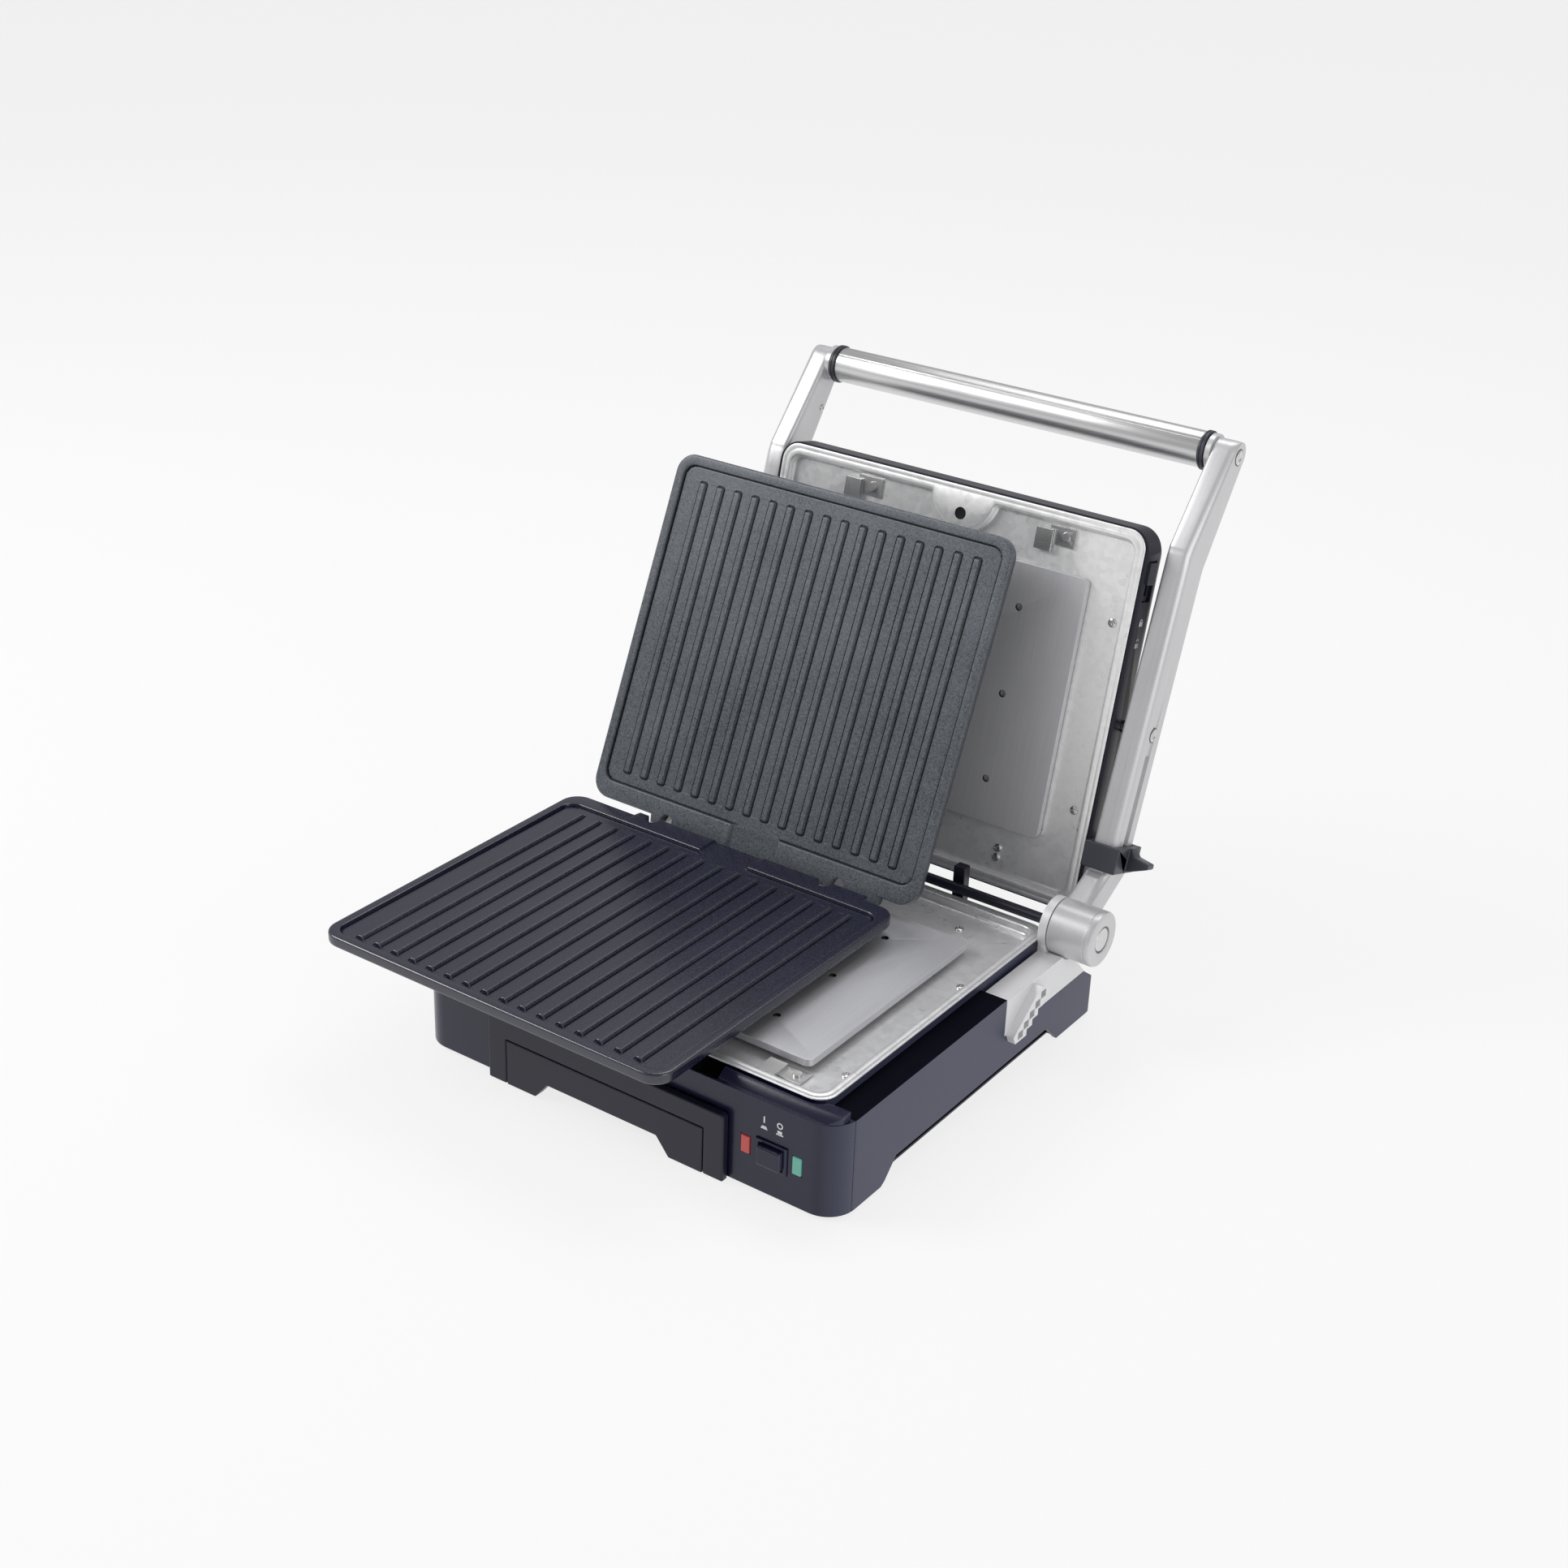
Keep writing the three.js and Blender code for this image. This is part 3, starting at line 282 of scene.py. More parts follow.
def window(v, low, high, edge):
    """1 between low and high, falling smoothly to 0 over edge on both sides."""
    return smoothstep((v - low) / edge) * smoothstep((high - v) / edge)


def lathe_x(profile, centre, n=48):
    """A turned patch about an X line: each [x, r] of the profile becomes a ring of n points."""
    a = np.linspace(0, 2 * pi, n, endpoint=False)
    x, r = np.array(profile, float).T
    y, z = centre
    across = np.repeat(x[:, None], n, 1)
    return loft(np.stack([across, y + r[:, None] * np.cos(a), z + r[:, None] * np.sin(a)], -1))


print("a ring has", len(rounded_ring(-1, 1, -1, 1, 0.2)), "points")

# %% [markdown]
# Each finished piece is one object at the origin with its place in its mesh. It takes a
# material, rides on a body, and may stand for a
# working solid, which is then hidden.

# %% Patches into finished pieces
BODY_OF = {node: body for body, nodes in frame["record"]["behaviour"]["bodies"].items() for node in nodes}


def place_piece(name, mesh, material, like, stands_for=True):
    """Links a mesh as a piece that rides with the working solid named like."""
    piece = bpy.data.objects.new(name, mesh)
    bpy.context.scene.collection.objects.link(piece)
    mesh.materials.clear()
    mesh.materials.append(material)
    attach(piece, BODY_OF[like])
    if stands_for:
        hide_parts(like)
    return piece


def build(name, patch, material, like, stands_for=True, sharp=38.0, shade=None):
    """A patch in millimetres as a finished piece, smooth except at edges over sharp degrees.
    shade, if given, is kept with each point, from 0 to 1, for a material to read."""
    points, faces = patch
    mesh = bpy.data.meshes.new(name)
    mesh.from_pydata((np.asarray(points) * MM + DATUM).tolist(), [], faces)
    if shade is not None:
        layer = mesh.attributes.new("shade", "FLOAT", "POINT")
        layer.data.foreach_set("value", np.asarray(shade, np.float32))
    bm = bmesh.new()
    bm.from_mesh(mesh)
    bmesh.ops.remove_doubles(bm, verts=bm.verts, dist=1e-6)
    bmesh.ops.recalc_face_normals(bm, faces=bm.faces)
    bm.to_mesh(mesh)
    bm.free()
    mesh.shade_smooth()
    mesh.set_sharp_from_angle(angle=radians(sharp))
    piece = place_piece(name, mesh, material, like, stands_for)
    print(name, len(mesh.polygons), "faces")
    return piece


def eased(node, material, width, segments=3, angle=34.0):
    """A copy of a working solid with every edge sharper than angle rounded to width, in mm:
    its triangles are merged into flat faces first, so that only real edges are left."""
    mesh = frame["nodes"][node].data.copy()
    mesh.name = f"{node}_eased"
    bm = bmesh.new()
    bm.from_mesh(mesh)
    bmesh.ops.remove_doubles(bm, verts=bm.verts, dist=1e-6)
    bmesh.ops.dissolve_limit(bm, angle_limit=radians(0.8), verts=bm.verts, edges=bm.edges)
    bm.to_mesh(mesh)
    bm.free()
    mesh.shade_smooth()
    mesh.set_sharp_from_angle(angle=radians(angle))
    piece = place_piece(mesh.name, mesh, material, node)
    bevel = piece.modifiers.new("soft_edges", "BEVEL")
    bevel.width = width * MM
    bevel.segments = segments
    bevel.limit_method = "ANGLE"
    bevel.angle_limit = radians(angle)
    bevel.harden_normals = True
    return piece


print("bodies:", sorted(set(BODY_OF.values())))

# %% [markdown]
# ## Finishes
#
# Four effects are shared by several finishes, so each is a node group that puts out a colour,
# a roughness and a height: fine speckle for cast coats, broad spangle for zinc, long streaks
# for brushed metal, and a soft grain for moulded pieces and paint.

# %% Shared effects
def new_group(name, inputs, outputs):
    """An empty node group with its named sockets; returns the group and its two ends."""
    group = bpy.data.node_groups.new(name, "ShaderNodeTree")
    for label, kind, value in inputs:
        socket = group.interface.new_socket(name=label, in_out="INPUT", socket_type=kind)
        socket.default_value = value
    for label, kind in outputs:
        group.interface.new_socket(name=label, in_out="OUTPUT", socket_type=kind)
    return group, group.nodes.new("NodeGroupInput"), group.nodes.new("NodeGroupOutput")


def texture(group, kind, vector, scale, **inputs):
    """A texture node on a vector, at one scale, with its other inputs by name."""
    node = group.nodes.new(kind)
    group.links.new(vector, node.inputs["Vector"])
    node.inputs["Scale"].default_value = scale
    for label, value in inputs.items():
        node.inputs[label.replace("_", " ")].default_value = value
    return node


def stretched(group, source, stretch):
    """Object coordinates multiplied axis by axis, so that a texture runs long one way."""
    mapping = group.nodes.new("ShaderNodeMapping")
    mapping.inputs["Scale"].default_value = stretch
    group.links.new(source, mapping.inputs["Vector"])
    return mapping.outputs["Vector"]


def remap(group, value, low, high, out_low, out_high):
    """The value's span low to high carried to out_low to out_high, and held at the ends."""
    node = group.nodes.new("ShaderNodeMapRange")
    group.links.new(value, node.inputs["Value"])
    for label, v in zip(("From Min", "From Max", "To Min", "To Max"), (low, high, out_low, out_high)):
        node.inputs[label].default_value = v
    return node.outputs["Result"]


def math(group, operation, a, b):
    """One sum on two values, each a number or a socket."""
    node = group.nodes.new("ShaderNodeMath")
    node.operation = operation
    for socket, v in zip(node.inputs, (a, b)):
        if isinstance(v, (int, float)):
            socket.default_value = v
        else:
            group.links.new(v, socket)
    return node.outputs[0]


def tinted(group, dark, light, factor):
    """A mix of two colour sockets."""
    mix = group.nodes.new("ShaderNodeMix")
    mix.data_type = "RGBA"
    group.links.new(factor, mix.inputs["Factor"])
    group.links.new(dark, mix.inputs["A"])
    group.links.new(light, mix.inputs["B"])
    return mix.outputs["Result"]


COLOURS = [("Dark", "NodeSocketColor", (0, 0, 0, 1)), ("Light", "NodeSocketColor", (1, 1, 1, 1)),
           ("Roughness", "NodeSocketFloat", 0.5), ("Spread", "NodeSocketFloat", 0.1)]
OUT = [("Color", "NodeSocketColor"), ("Roughness", "NodeSocketFloat"), ("Height", "NodeSocketFloat")]


def finish_group(name, pattern):
    """A group with the common sockets. pattern returns its colour factor and its height."""
    group, ends, out = new_group(name, COLOURS, OUT)
    coords = group.nodes.new("ShaderNodeTexCoord").outputs["Object"]
    factor, height = pattern(group, coords)
    colour = tinted(group, ends.outputs["Dark"], ends.outputs["Light"], factor)
    group.links.new(colour, out.inputs["Color"])
    swing = math(group, "MULTIPLY", math(group, "SUBTRACT", factor, 0.5), ends.outputs["Spread"])
    group.links.new(math(group, "ADD", ends.outputs["Roughness"], swing), out.inputs["Roughness"])
    group.links.new(height, out.inputs["Height"])
    return group


def speckle_pattern(group, coords):
    """Fine grains of two sizes over slow cloudy shifts."""
    fine = texture(group, "ShaderNodeTexNoise", coords, 1500, Detail=2, Roughness=0.6).outputs["Fac"]
    grain = texture(group, "ShaderNodeTexNoise", coords, 620, Detail=3, Roughness=0.7).outputs["Fac"]
    cloud = texture(group, "ShaderNodeTexNoise", coords, 14, Detail=3, Roughness=0.5).outputs["Fac"]
    mixed = math(group, "ADD", math(group, "MULTIPLY", fine, 0.5), math(group, "MULTIPLY", grain, 0.35))
    total = math(group, "ADD", mixed, math(group, "MULTIPLY", cloud, 0.15))
    return remap(group, total, 0.36, 0.66, 0, 1), mixed


def spangle_pattern(group, coords):
    """Crystal patches from cells, broken up by noise, with faint scratches."""
    cells = texture(group, "ShaderNodeTexVoronoi", coords, 210).outputs["Color"]
    grey = group.nodes.new("ShaderNodeSeparateColor")
    group.links.new(cells, grey.inputs[0])
    noise = texture(group, "ShaderNodeTexNoise", coords, 260, Detail=4, Roughness=0.65).outputs["Fac"]
    cloud = texture(group, "ShaderNodeTexNoise", coords, 26, Detail=3, Roughness=0.55).outputs["Fac"]
    mixed = math(group, "ADD", math(group, "MULTIPLY", grey.outputs[0], 0.25),
                 math(group, "MULTIPLY", noise, 0.45))
    total = math(group, "ADD", mixed, math(group, "MULTIPLY", cloud, 0.3))
    return remap(group, total, 0.3, 0.66, 0, 1), math(group, "MULTIPLY", noise, 0.6)


def streak_pattern(stretch):
    """Long fine lines: noise on coordinates squeezed across the brushing direction."""
    def pattern(group, coords):
        """The streaks, under slow cloudy shifts."""
        long = stretched(group, coords, stretch)
        fine = texture(group, "ShaderNodeTexNoise", long, 1.0, Detail=4, Roughness=0.7).outputs["Fac"]
        cloud = texture(group, "ShaderNodeTexNoise", coords, 18, Detail=2, Roughness=0.5).outputs["Fac"]
        total = math(group, "ADD", math(group, "MULTIPLY", fine, 0.8), math(group, "MULTIPLY", cloud, 0.2))
        return remap(group, total, 0.34, 0.66, 0, 1), fine
    return pattern


def moulded_pattern(group, coords):
    """A soft spark-eroded grain, with slow shifts where the mould was polished."""
    grain = texture(group, "ShaderNodeTexNoise", coords, 2200, Detail=2, Roughness=0.5).outputs["Fac"]
    cloud = texture(group, "ShaderNodeTexNoise", coords, 9, Detail=4, Roughness=0.6).outputs["Fac"]
    total = math(group, "ADD", math(group, "MULTIPLY", grain, 0.4), math(group, "MULTIPLY", cloud, 0.6))
    return remap(group, total, 0.35, 0.65, 0, 1), grain


SPECKLE = finish_group("cast_speckle", speckle_pattern)
SPANGLE = finish_group("zinc_spangle", spangle_pattern)
MOULDED = finish_group("moulded_grain", moulded_pattern)
LONG_X = finish_group("streaks_along_x", streak_pattern((3, 900, 900)))
LONG_Z = finish_group("streaks_upright", streak_pattern((1400, 14, 14)))
print("effect groups:", len(bpy.data.node_groups))

# %% [markdown]
# A finish is one Principled shader with one effect group in front of it. The group's colour and
# roughness go straight in, and its height goes through a Bump node. A number that is the same
# all over stays on the shader's own socket.

# %% Finishes by name
def finish(name, effect, dark, light, roughness, spread=0.1, bump=0.0, grain_mm=0.05, **fixed):
    """A material from an effect group: two colours to swing between, a roughness and its
    spread, and how strongly the pattern stands out, at a depth of grain_mm."""
    material = bpy.data.materials.new(name)
    material.use_nodes = True
    tree = material.node_tree
    shader = tree.nodes["Principled BSDF"]
    node = tree.nodes.new("ShaderNodeGroup")
    node.node_tree = effect
    node.inputs["Dark"].default_value = (*dark, 1)
    node.inputs["Light"].default_value = (*light, 1)
    node.inputs["Roughness"].default_value = roughness
    node.inputs["Spread"].default_value = spread
    tree.links.new(node.outputs["Color"], shader.inputs["Base Color"])
    tree.links.new(node.outputs["Roughness"], shader.inputs["Roughness"])
    if bump:
        relief = tree.nodes.new("ShaderNodeBump")
        relief.inputs["Strength"].default_value = bump
        relief.inputs["Distance"].default_value = grain_mm * MM
        tree.links.new(node.outputs["Height"], relief.inputs["Height"])
        tree.links.new(relief.outputs["Normal"], shader.inputs["Normal"])
    for label, value in fixed.items():
        shader.inputs[label.replace("_", " ")].default_value = value
    return material


# Both plates wear one non-stick coat. The upper copy is lighter and greyer and the lower copy darker and
# bluer only for the light each gets: painted light and painted shade.
lit_upper_coat = finish("upper_non_stick_coat_lit_copy", SPECKLE, (0.020, 0.025, 0.032), (0.168, 0.186, 0.212),
                    0.36, 0.2, bump=1.0, grain_mm=0.12)
shaded_lower_coat = finish("lower_non_stick_coat_shaded_copy", SPECKLE, (0.001, 0.001, 0.006), (0.012, 0.013, 0.046),
                    0.27, 0.14, bump=0.55, grain_mm=0.07, Specular_IOR_Level=0.95)
# The two pans are one zinc-coated sheet. The lower pan's copy has a finer spangle, and its darker tone is
# painted shade.
zinc = finish("zinc_sheet", SPANGLE, (0.86, 0.86, 0.86), (0.98, 0.98, 0.975), 0.32, 0.10, bump=0.12,
              Metallic=0.5)
shaded_lower_zinc = finish("smooth_zinc_sheet_shaded_copy", SPANGLE, (0.74, 0.74, 0.75), (0.84, 0.84, 0.85), 0.30, 0.06,
                    bump=0.05, grain_mm=0.03, Metallic=0.55)
catch_steel = finish("catch_steel", MOULDED, (0.48, 0.48, 0.48), (0.68, 0.68, 0.67), 0.3, 0.12,
                     bump=0.1, grain_mm=0.04, Metallic=0.9)
# The two heaters are one aluminium. The lid heater's copy differs in tone and metalness only for the light
# it gets: painted light.
spreader = finish("heater_aluminium", LONG_Z, (0.62, 0.62, 0.65), (0.69, 0.69, 0.72), 0.40, 0.1,
                  bump=0.12, grain_mm=0.02, Metallic=0.7)
upper_spreader = finish("lid_heater_aluminium", LONG_Z, (0.56, 0.56, 0.585), (0.63, 0.63, 0.655),
                        0.40, 0.1, bump=0.12, grain_mm=0.02, Metallic=0.35)
silver = finish("satin_silver_paint", MOULDED, (0.56, 0.56, 0.57), (0.66, 0.66, 0.67), 0.36, 0.08,
                bump=0.08, grain_mm=0.02, Metallic=0.45)
bracket_silver = finish("bracket_silver_paint", MOULDED, (0.70, 0.70, 0.71), (0.78, 0.78, 0.79),
                        0.36, 0.08, bump=0.08, grain_mm=0.02, Metallic=0.2)
pocket_floor_shade = finish("rack_pocket_shade", MOULDED, (0.13, 0.13, 0.14), (0.18, 0.18, 0.19), 0.5, 0.1,
                     bump=0.05, grain_mm=0.02, Metallic=0.3)
brushed = finish("brushed_handle_steel", LONG_X, (0.58, 0.58, 0.59), (0.76, 0.76, 0.76), 0.34, 0.08,
                 bump=0.15, grain_mm=0.02, Metallic=1.0)
bright = finish("bright_screw_steel", MOULDED, (0.55, 0.55, 0.55), (0.75, 0.75, 0.74), 0.24, 0.1,
                bump=0.05, grain_mm=0.02, Metallic=1.0)
gloss = finish("glossy_black_moulding", MOULDED, (0.004, 0.004, 0.022), (0.008, 0.008, 0.034), 0.26,
               0.06, Specular_IOR_Level=0.4, Coat_Weight=0.1)
satin = finish("satin_black_moulding", MOULDED, (0.007, 0.007, 0.018), (0.013, 0.013, 0.028), 0.40,
               0.08, bump=0.2, grain_mm=0.03, Specular_IOR_Level=0.4)
# The base's side walls and its deck are one plastic. The walls' lighter blue grey is painted light, and
# the deck's near black is painted shade.
lit_side_wall = finish("side_wall_moulding_lit_copy", MOULDED, (0.036, 0.039, 0.074), (0.046, 0.050, 0.092), 0.40,
                   0.06, bump=0.15, grain_mm=0.03, Specular_IOR_Level=0.4)
deck = finish("deck_moulding_painted_shade", MOULDED, (0.002, 0.002, 0.006), (0.004, 0.004, 0.009), 0.5, 0.1,
              bump=0.3, grain_mm=0.04, Specular_IOR_Level=0.02)
slate = finish("slate_moulding", MOULDED, (0.030, 0.033, 0.045), (0.050, 0.054, 0.070), 0.38, 0.08,
               bump=0.2, grain_mm=0.03)
rubber = finish("foot_rubber", MOULDED, (0.012, 0.012, 0.013), (0.022, 0.022, 0.024), 0.75, 0.1,
                bump=0.4)
ivory = finish("terminal_moulding", MOULDED, (0.60, 0.57, 0.48), (0.68, 0.65, 0.56), 0.5, 0.1,
               bump=0.1, grain_mm=0.03)
red = finish("red_lens", MOULDED, (0.42, 0.030, 0.030), (0.60, 0.060, 0.055), 0.22, 0.06,
             Coat_Weight=0.5, Emission_Color=(0.9, 0.06, 0.05, 1), Emission_Strength=0.05)
green = finish("green_lens", MOULDED, (0.07, 0.30, 0.23), (0.14, 0.42, 0.34), 0.22, 0.06,
               Coat_Weight=0.5, Emission_Color=(0.1, 0.6, 0.42, 1), Emission_Strength=0.08)
ink = finish("printed_white", MOULDED, (0.62, 0.62, 0.64), (0.78, 0.78, 0.8), 0.5, 0.1)
dimple = finish("dimple_shadow", MOULDED, (0.006, 0.006, 0.007), (0.010, 0.010, 0.011), 0.6)
hole_shade = finish("hole_shadow", MOULDED, (0.004, 0.004, 0.005), (0.008, 0.008, 0.009), 0.9)
print("finishes:", len(bpy.data.materials) - 1)

# %% [markdown]
# Two finishes change over their piece, and both paint light. The front's black turns greyer
# where its corner rounds to the side, a painted sheen, and the plates' coats take painted shade
# in the upper's grooves and a painted highlight on the lower's ridges, where a piece carries a
# shade with its points. Both put one Mix node between the effect group and the shader's base colour.

# %% Finishes that change over a piece
def mix_into_base(material, blend, colour, factor_of):
    """A Mix node in front of the base colour: blend with colour, by the socket that factor_of
    makes in the material's node tree."""
    tree = material.node_tree
    base = tree.nodes["Principled BSDF"].inputs["Base Color"]
    mix = tree.nodes.new("ShaderNodeMix")
    mix.data_type = "RGBA"
    mix.blend_type = blend
    mix.inputs["B"].default_value = (*colour, 1)
    tree.links.new(base.links[0].from_socket, mix.inputs["A"])
    tree.links.new(factor_of(tree), mix.inputs["Factor"])
    tree.links.new(mix.outputs["Result"], base)


def side_facing(tree, start=0.25):
    """How far a face turns to the right or left: the size of its normal's X, from start to 1. It places
    the front's painted sheen.
    """
    facing = tree.nodes.new("ShaderNodeNewGeometry")
    split = tree.nodes.new("ShaderNodeSeparateXYZ")
    size = tree.nodes.new("ShaderNodeMath")
    size.operation = "ABSOLUTE"
    tree.links.new(facing.outputs["Normal"], split.inputs[0])
    tree.links.new(split.outputs["X"], size.inputs[0])
    return remap(tree, size.outputs["Value"], start, 1, 0, 1)


def piece_shade(tree):
    """The shade that the piece's own points carry: painted shade on the upper plate, a painted highlight
    on the lower.
    """
    depth = tree.nodes.new("ShaderNodeAttribute")
    depth.attribute_name = "shade"
    return depth.outputs["Fac"]


# Painted sheen: the front's black turns a lighter blue grey on faces that turn to the side.
mix_into_base(gloss, "MIX", (0.041, 0.044, 0.083), side_facing)
# Painted shade: the upper coat goes nearly black where its points carry a shade.
mix_into_base(lit_upper_coat, "MULTIPLY", (0.02, 0.02, 0.02), piece_shade)
# Painted highlight: the lower coat is brightened where its points carry a shade.
mix_into_base(shaded_lower_coat, "MULTIPLY", (7.0, 7.0, 2.6), piece_shade)
print("changing finishes:", gloss.name, lit_upper_coat.name, shaded_lower_coat.name)

# %% [markdown]
# ## The ridged plates
#
# A cast plate is a rounded tray with a contact pad below and a raised border above. Its outline
# is one rounded rectangle, so the body is a loft of that ring at changing insets and heights.
# The pouring gap, the ledge behind the back edge and the two hook notches are worked into the
# same rings: near the gap the border's height is pulled down, along the ledge the outline is
# pushed out, and at a notch it is pulled in.

# %% Plate body
PLATE_X, PLATE_Y = 140.0, 128.0
PLATE_CORNER, BORDER, REAR_BORDER, FLOOR = 14.0, 7.0, 13.0, -2.2
GAP_X, GAP_HALF = 4.0, 21.0
NOTCH_X, NOTCH_R = (-70.0, 78.0), 5.5
HOOK_LIP, LIP_BEFORE, LIP_BEYOND = 5.5, 14.0, 34.0
PAD_INSET, PAD_Z, UNDER_Z = 36.0, -15.9, -8.0


def edge_arc(n, inset, z, r, start, end):
    """Points [inset, z] on a quarter round of radius r about a centre inset and z."""
    a = arc(n, start, end)
    return [(inset + r * i, z + r * k) for i, k in zip(np.cos(a), np.sin(a))]


def plate_ring(inset, z, rear_extra=0.0):
    """One ring of the plate: the outline moved in by inset, the back edge by rear_extra more,
    lowered to the floor in the pouring gap, pushed out along the ledge and pulled in round
    each hook notch to NOTCH_R from its centre."""
    r = max(PLATE_CORNER - inset, 3.0) + (2.0 if rear_extra else 0.0)
    ring = rounded_ring(-PLATE_X + inset, PLATE_X - inset, -PLATE_Y + inset,
                        PLATE_Y - inset - rear_extra, r, side=(240, 24), corner=9)
    x, y = ring.T
    heights = np.full(len(ring), float(z))
    low = window(x, GAP_X - GAP_HALF, GAP_X + GAP_HALF, 1.4) * (y > PLATE_Y - REAR_BORDER - 2)
    heights = np.where(heights > FLOOR, heights + (FLOOR - 0.05 - heights) * low, heights)
    if inset < 3 and not rear_extra:
        at_back = y > PLATE_Y - inset - 0.3
        y = y + HOOK_LIP * at_back * window(x, NOTCH_X[0] - LIP_BEFORE, NOTCH_X[1] + LIP_BEYOND, 0.6)
    for centre in NOTCH_X:
        reach = np.sqrt(np.maximum(NOTCH_R ** 2 - (x - centre) ** 2, 0))
        y = np.where(np.abs(x - centre) < NOTCH_R, np.minimum(y, PLATE_Y + 2 - reach), y)
    return np.column_stack([x, y, heights])


def plate_body():
    """Rings from the pad, out to the edge, over the border and down its inner wall."""
    outside = [(PAD_INSET + 2, PAD_Z), (PAD_INSET + 0.4, PAD_Z + 0.4), (PAD_INSET, PAD_Z + 1.4),
               (PAD_INSET, UNDER_Z - 1), (PAD_INSET - 1, UNDER_Z)]
    outside += edge_arc(6, 2, UNDER_Z + 2, 2, 270, 180)
    outside += edge_arc(7, 1.6, -1.6, 1.6, 180, 90)
    inside = edge_arc(6, BORDER - 0.9, -0.9, 0.9, 90, 0) + [(BORDER + 0.3, FLOOR - 0.9)]
    rings = [plate_ring(i, z) for i, z in outside]
    rings += [plate_ring(i, z, REAR_BORDER - BORDER) for i, z in inside]
    return loft(np.stack(rings))


print("plate body:", len(plate_body()[1]), "faces")

# %% [markdown]
# The ribbed floor is a height field. Each ridge is a long rounded box: inside it the height
# climbs to a flat top, and just outside it a hairline groove dips, which is what draws the
# dark line along every ridge. The grid only has lines where the height changes.

# %% Ribbed floor
LOWER_FRONT_GAP, UPPER_FRONT_GAP = 4.0, 11.0
RIDGE_COUNT, RIDGE_PITCH, RIDGE_HEIGHT = 16, 15.3, 2.0
RIDGE_FOOT, RIDGE_TOP, RIDGE_REAR_GAP = 5.2, 3.7, 9.0
GROOVE_WIDE, GROOVE_DEEP = 1.1, 0.9


def rounded_box_distance(x, y, half_x, half_y, r):
    """Distance to a rounded rectangle's outline, negative inside it."""
    qx, qy = np.abs(x) - (half_x - r), np.abs(y) - (half_y - r)
    outside = np.hypot(np.maximum(qx, 0), np.maximum(qy, 0))
    return outside + np.minimum(np.maximum(qx, qy), 0) - r


def ribbed_height(x, y, front, rear):
    """Floor height: the nearest ridge's distance gives a climb inside and a groove outside."""
    middles = (np.arange(RIDGE_COUNT) - (RIDGE_COUNT - 1) / 2) * RIDGE_PITCH
    away = rounded_box_distance(x[..., None] - middles, y[..., None] - (front + rear) / 2,
                                RIDGE_FOOT / 2, (rear - front) / 2, 1.5).min(-1)
    climb = RIDGE_HEIGHT * smoothstep(-away / ((RIDGE_FOOT - RIDGE_TOP) / 2))
    rear_y, front_y = PLATE_Y - REAR_BORDER, -PLATE_Y + BORDER
    wall = -rounded_box_distance(x, y - (rear_y + front_y) / 2, PLATE_X - BORDER,
                                 (rear_y - front_y) / 2, 9.0)
    pour = window(x, GAP_X - GAP_HALF, GAP_X + GAP_HALF, 1.4) * (y > 0)
    groove = window(away, -0.05, GROOVE_WIDE, 0.3) + window(wall, -0.6, GROOVE_WIDE, 0.3) * (1 - pour)
    return FLOOR + climb - GROOVE_DEEP * np.minimum(groove, 1)


def slab(x_lines, y_lines, height, bottom):
    """A closed block under a height field on a grid of lines."""
    x, y = np.meshgrid(x_lines, y_lines, indexing="ij")
    top = np.stack([x, y, height(x, y)], -1).reshape(-1, 3)
    n, m = x.shape
    index = np.arange(n * m).reshape(n, m)
    rim = np.concatenate([index[:-1, 0], index[-1, :-1], index[:0:-1, -1], index[0, :0:-1]])
    skirt = top[rim] * (1, 1, 0) + (0, 0, bottom)
    faces = grid_faces(n, m, closed=False)
    k = np.arange(len(rim))
    ahead = (k + 1) % len(rim)
    faces += np.stack([rim, rim[ahead], n * m + ahead, n * m + k], -1).tolist()
    faces.append((n * m + k).tolist())
    return np.vstack([top, skirt]), faces


def ribbed_floor(front_gap):
    """The floor's block, with grid lines packed where the walls and the ridges' sides are."""
    front = -PLATE_Y + BORDER + front_gap
    rear = PLATE_Y - REAR_BORDER - RIDGE_REAR_GAP
    steps = np.array([-GROOVE_WIDE, -0.7, -0.3, 0.0, 0.25, 0.5, 0.75])
    middles = (np.arange(RIDGE_COUNT) - (RIDGE_COUNT - 1) / 2) * RIDGE_PITCH
    across = np.concatenate([m + s * (RIDGE_FOOT / 2 - steps) for m in middles for s in (-1, 1)])
    wall = np.concatenate([np.array([-0.5, 0.3, 0.6, 1.0, 1.4]), np.linspace(2, 9, 8)])
    half = PLATE_X - BORDER
    gap_sides = GAP_X + np.array([-1, 1]) * GAP_HALF
    x_lines = np.concatenate([wall - half, half - wall, across, middles, gap_sides])
    ends = np.concatenate([steps, [1.1, 1.6, 2.2, 3.0]])
    y_lines = np.concatenate([wall - PLATE_Y + BORDER, PLATE_Y - REAR_BORDER - wall,
                              front + ends, rear - ends, np.linspace(front + 8, rear - 8, 7)])
    return slab(np.unique(x_lines.round(4)), np.unique(y_lines.round(4)),
                lambda x, y: ribbed_height(x, y, front, rear), FLOOR - 0.8)


print("ribbed floor:", len(ribbed_floor(LOWER_FRONT_GAP)[1]), "faces")

# %% [markdown]
# Each point of a plate keeps a shade from 0 to 1 that the coat's colour reads. On the upper
# plate it is 1 in the grooves and less on the plate's outer side, painted shade that darkens
# them. On the lower one it is 1 along the ridges' right edges, a painted highlight that
# brightens them.

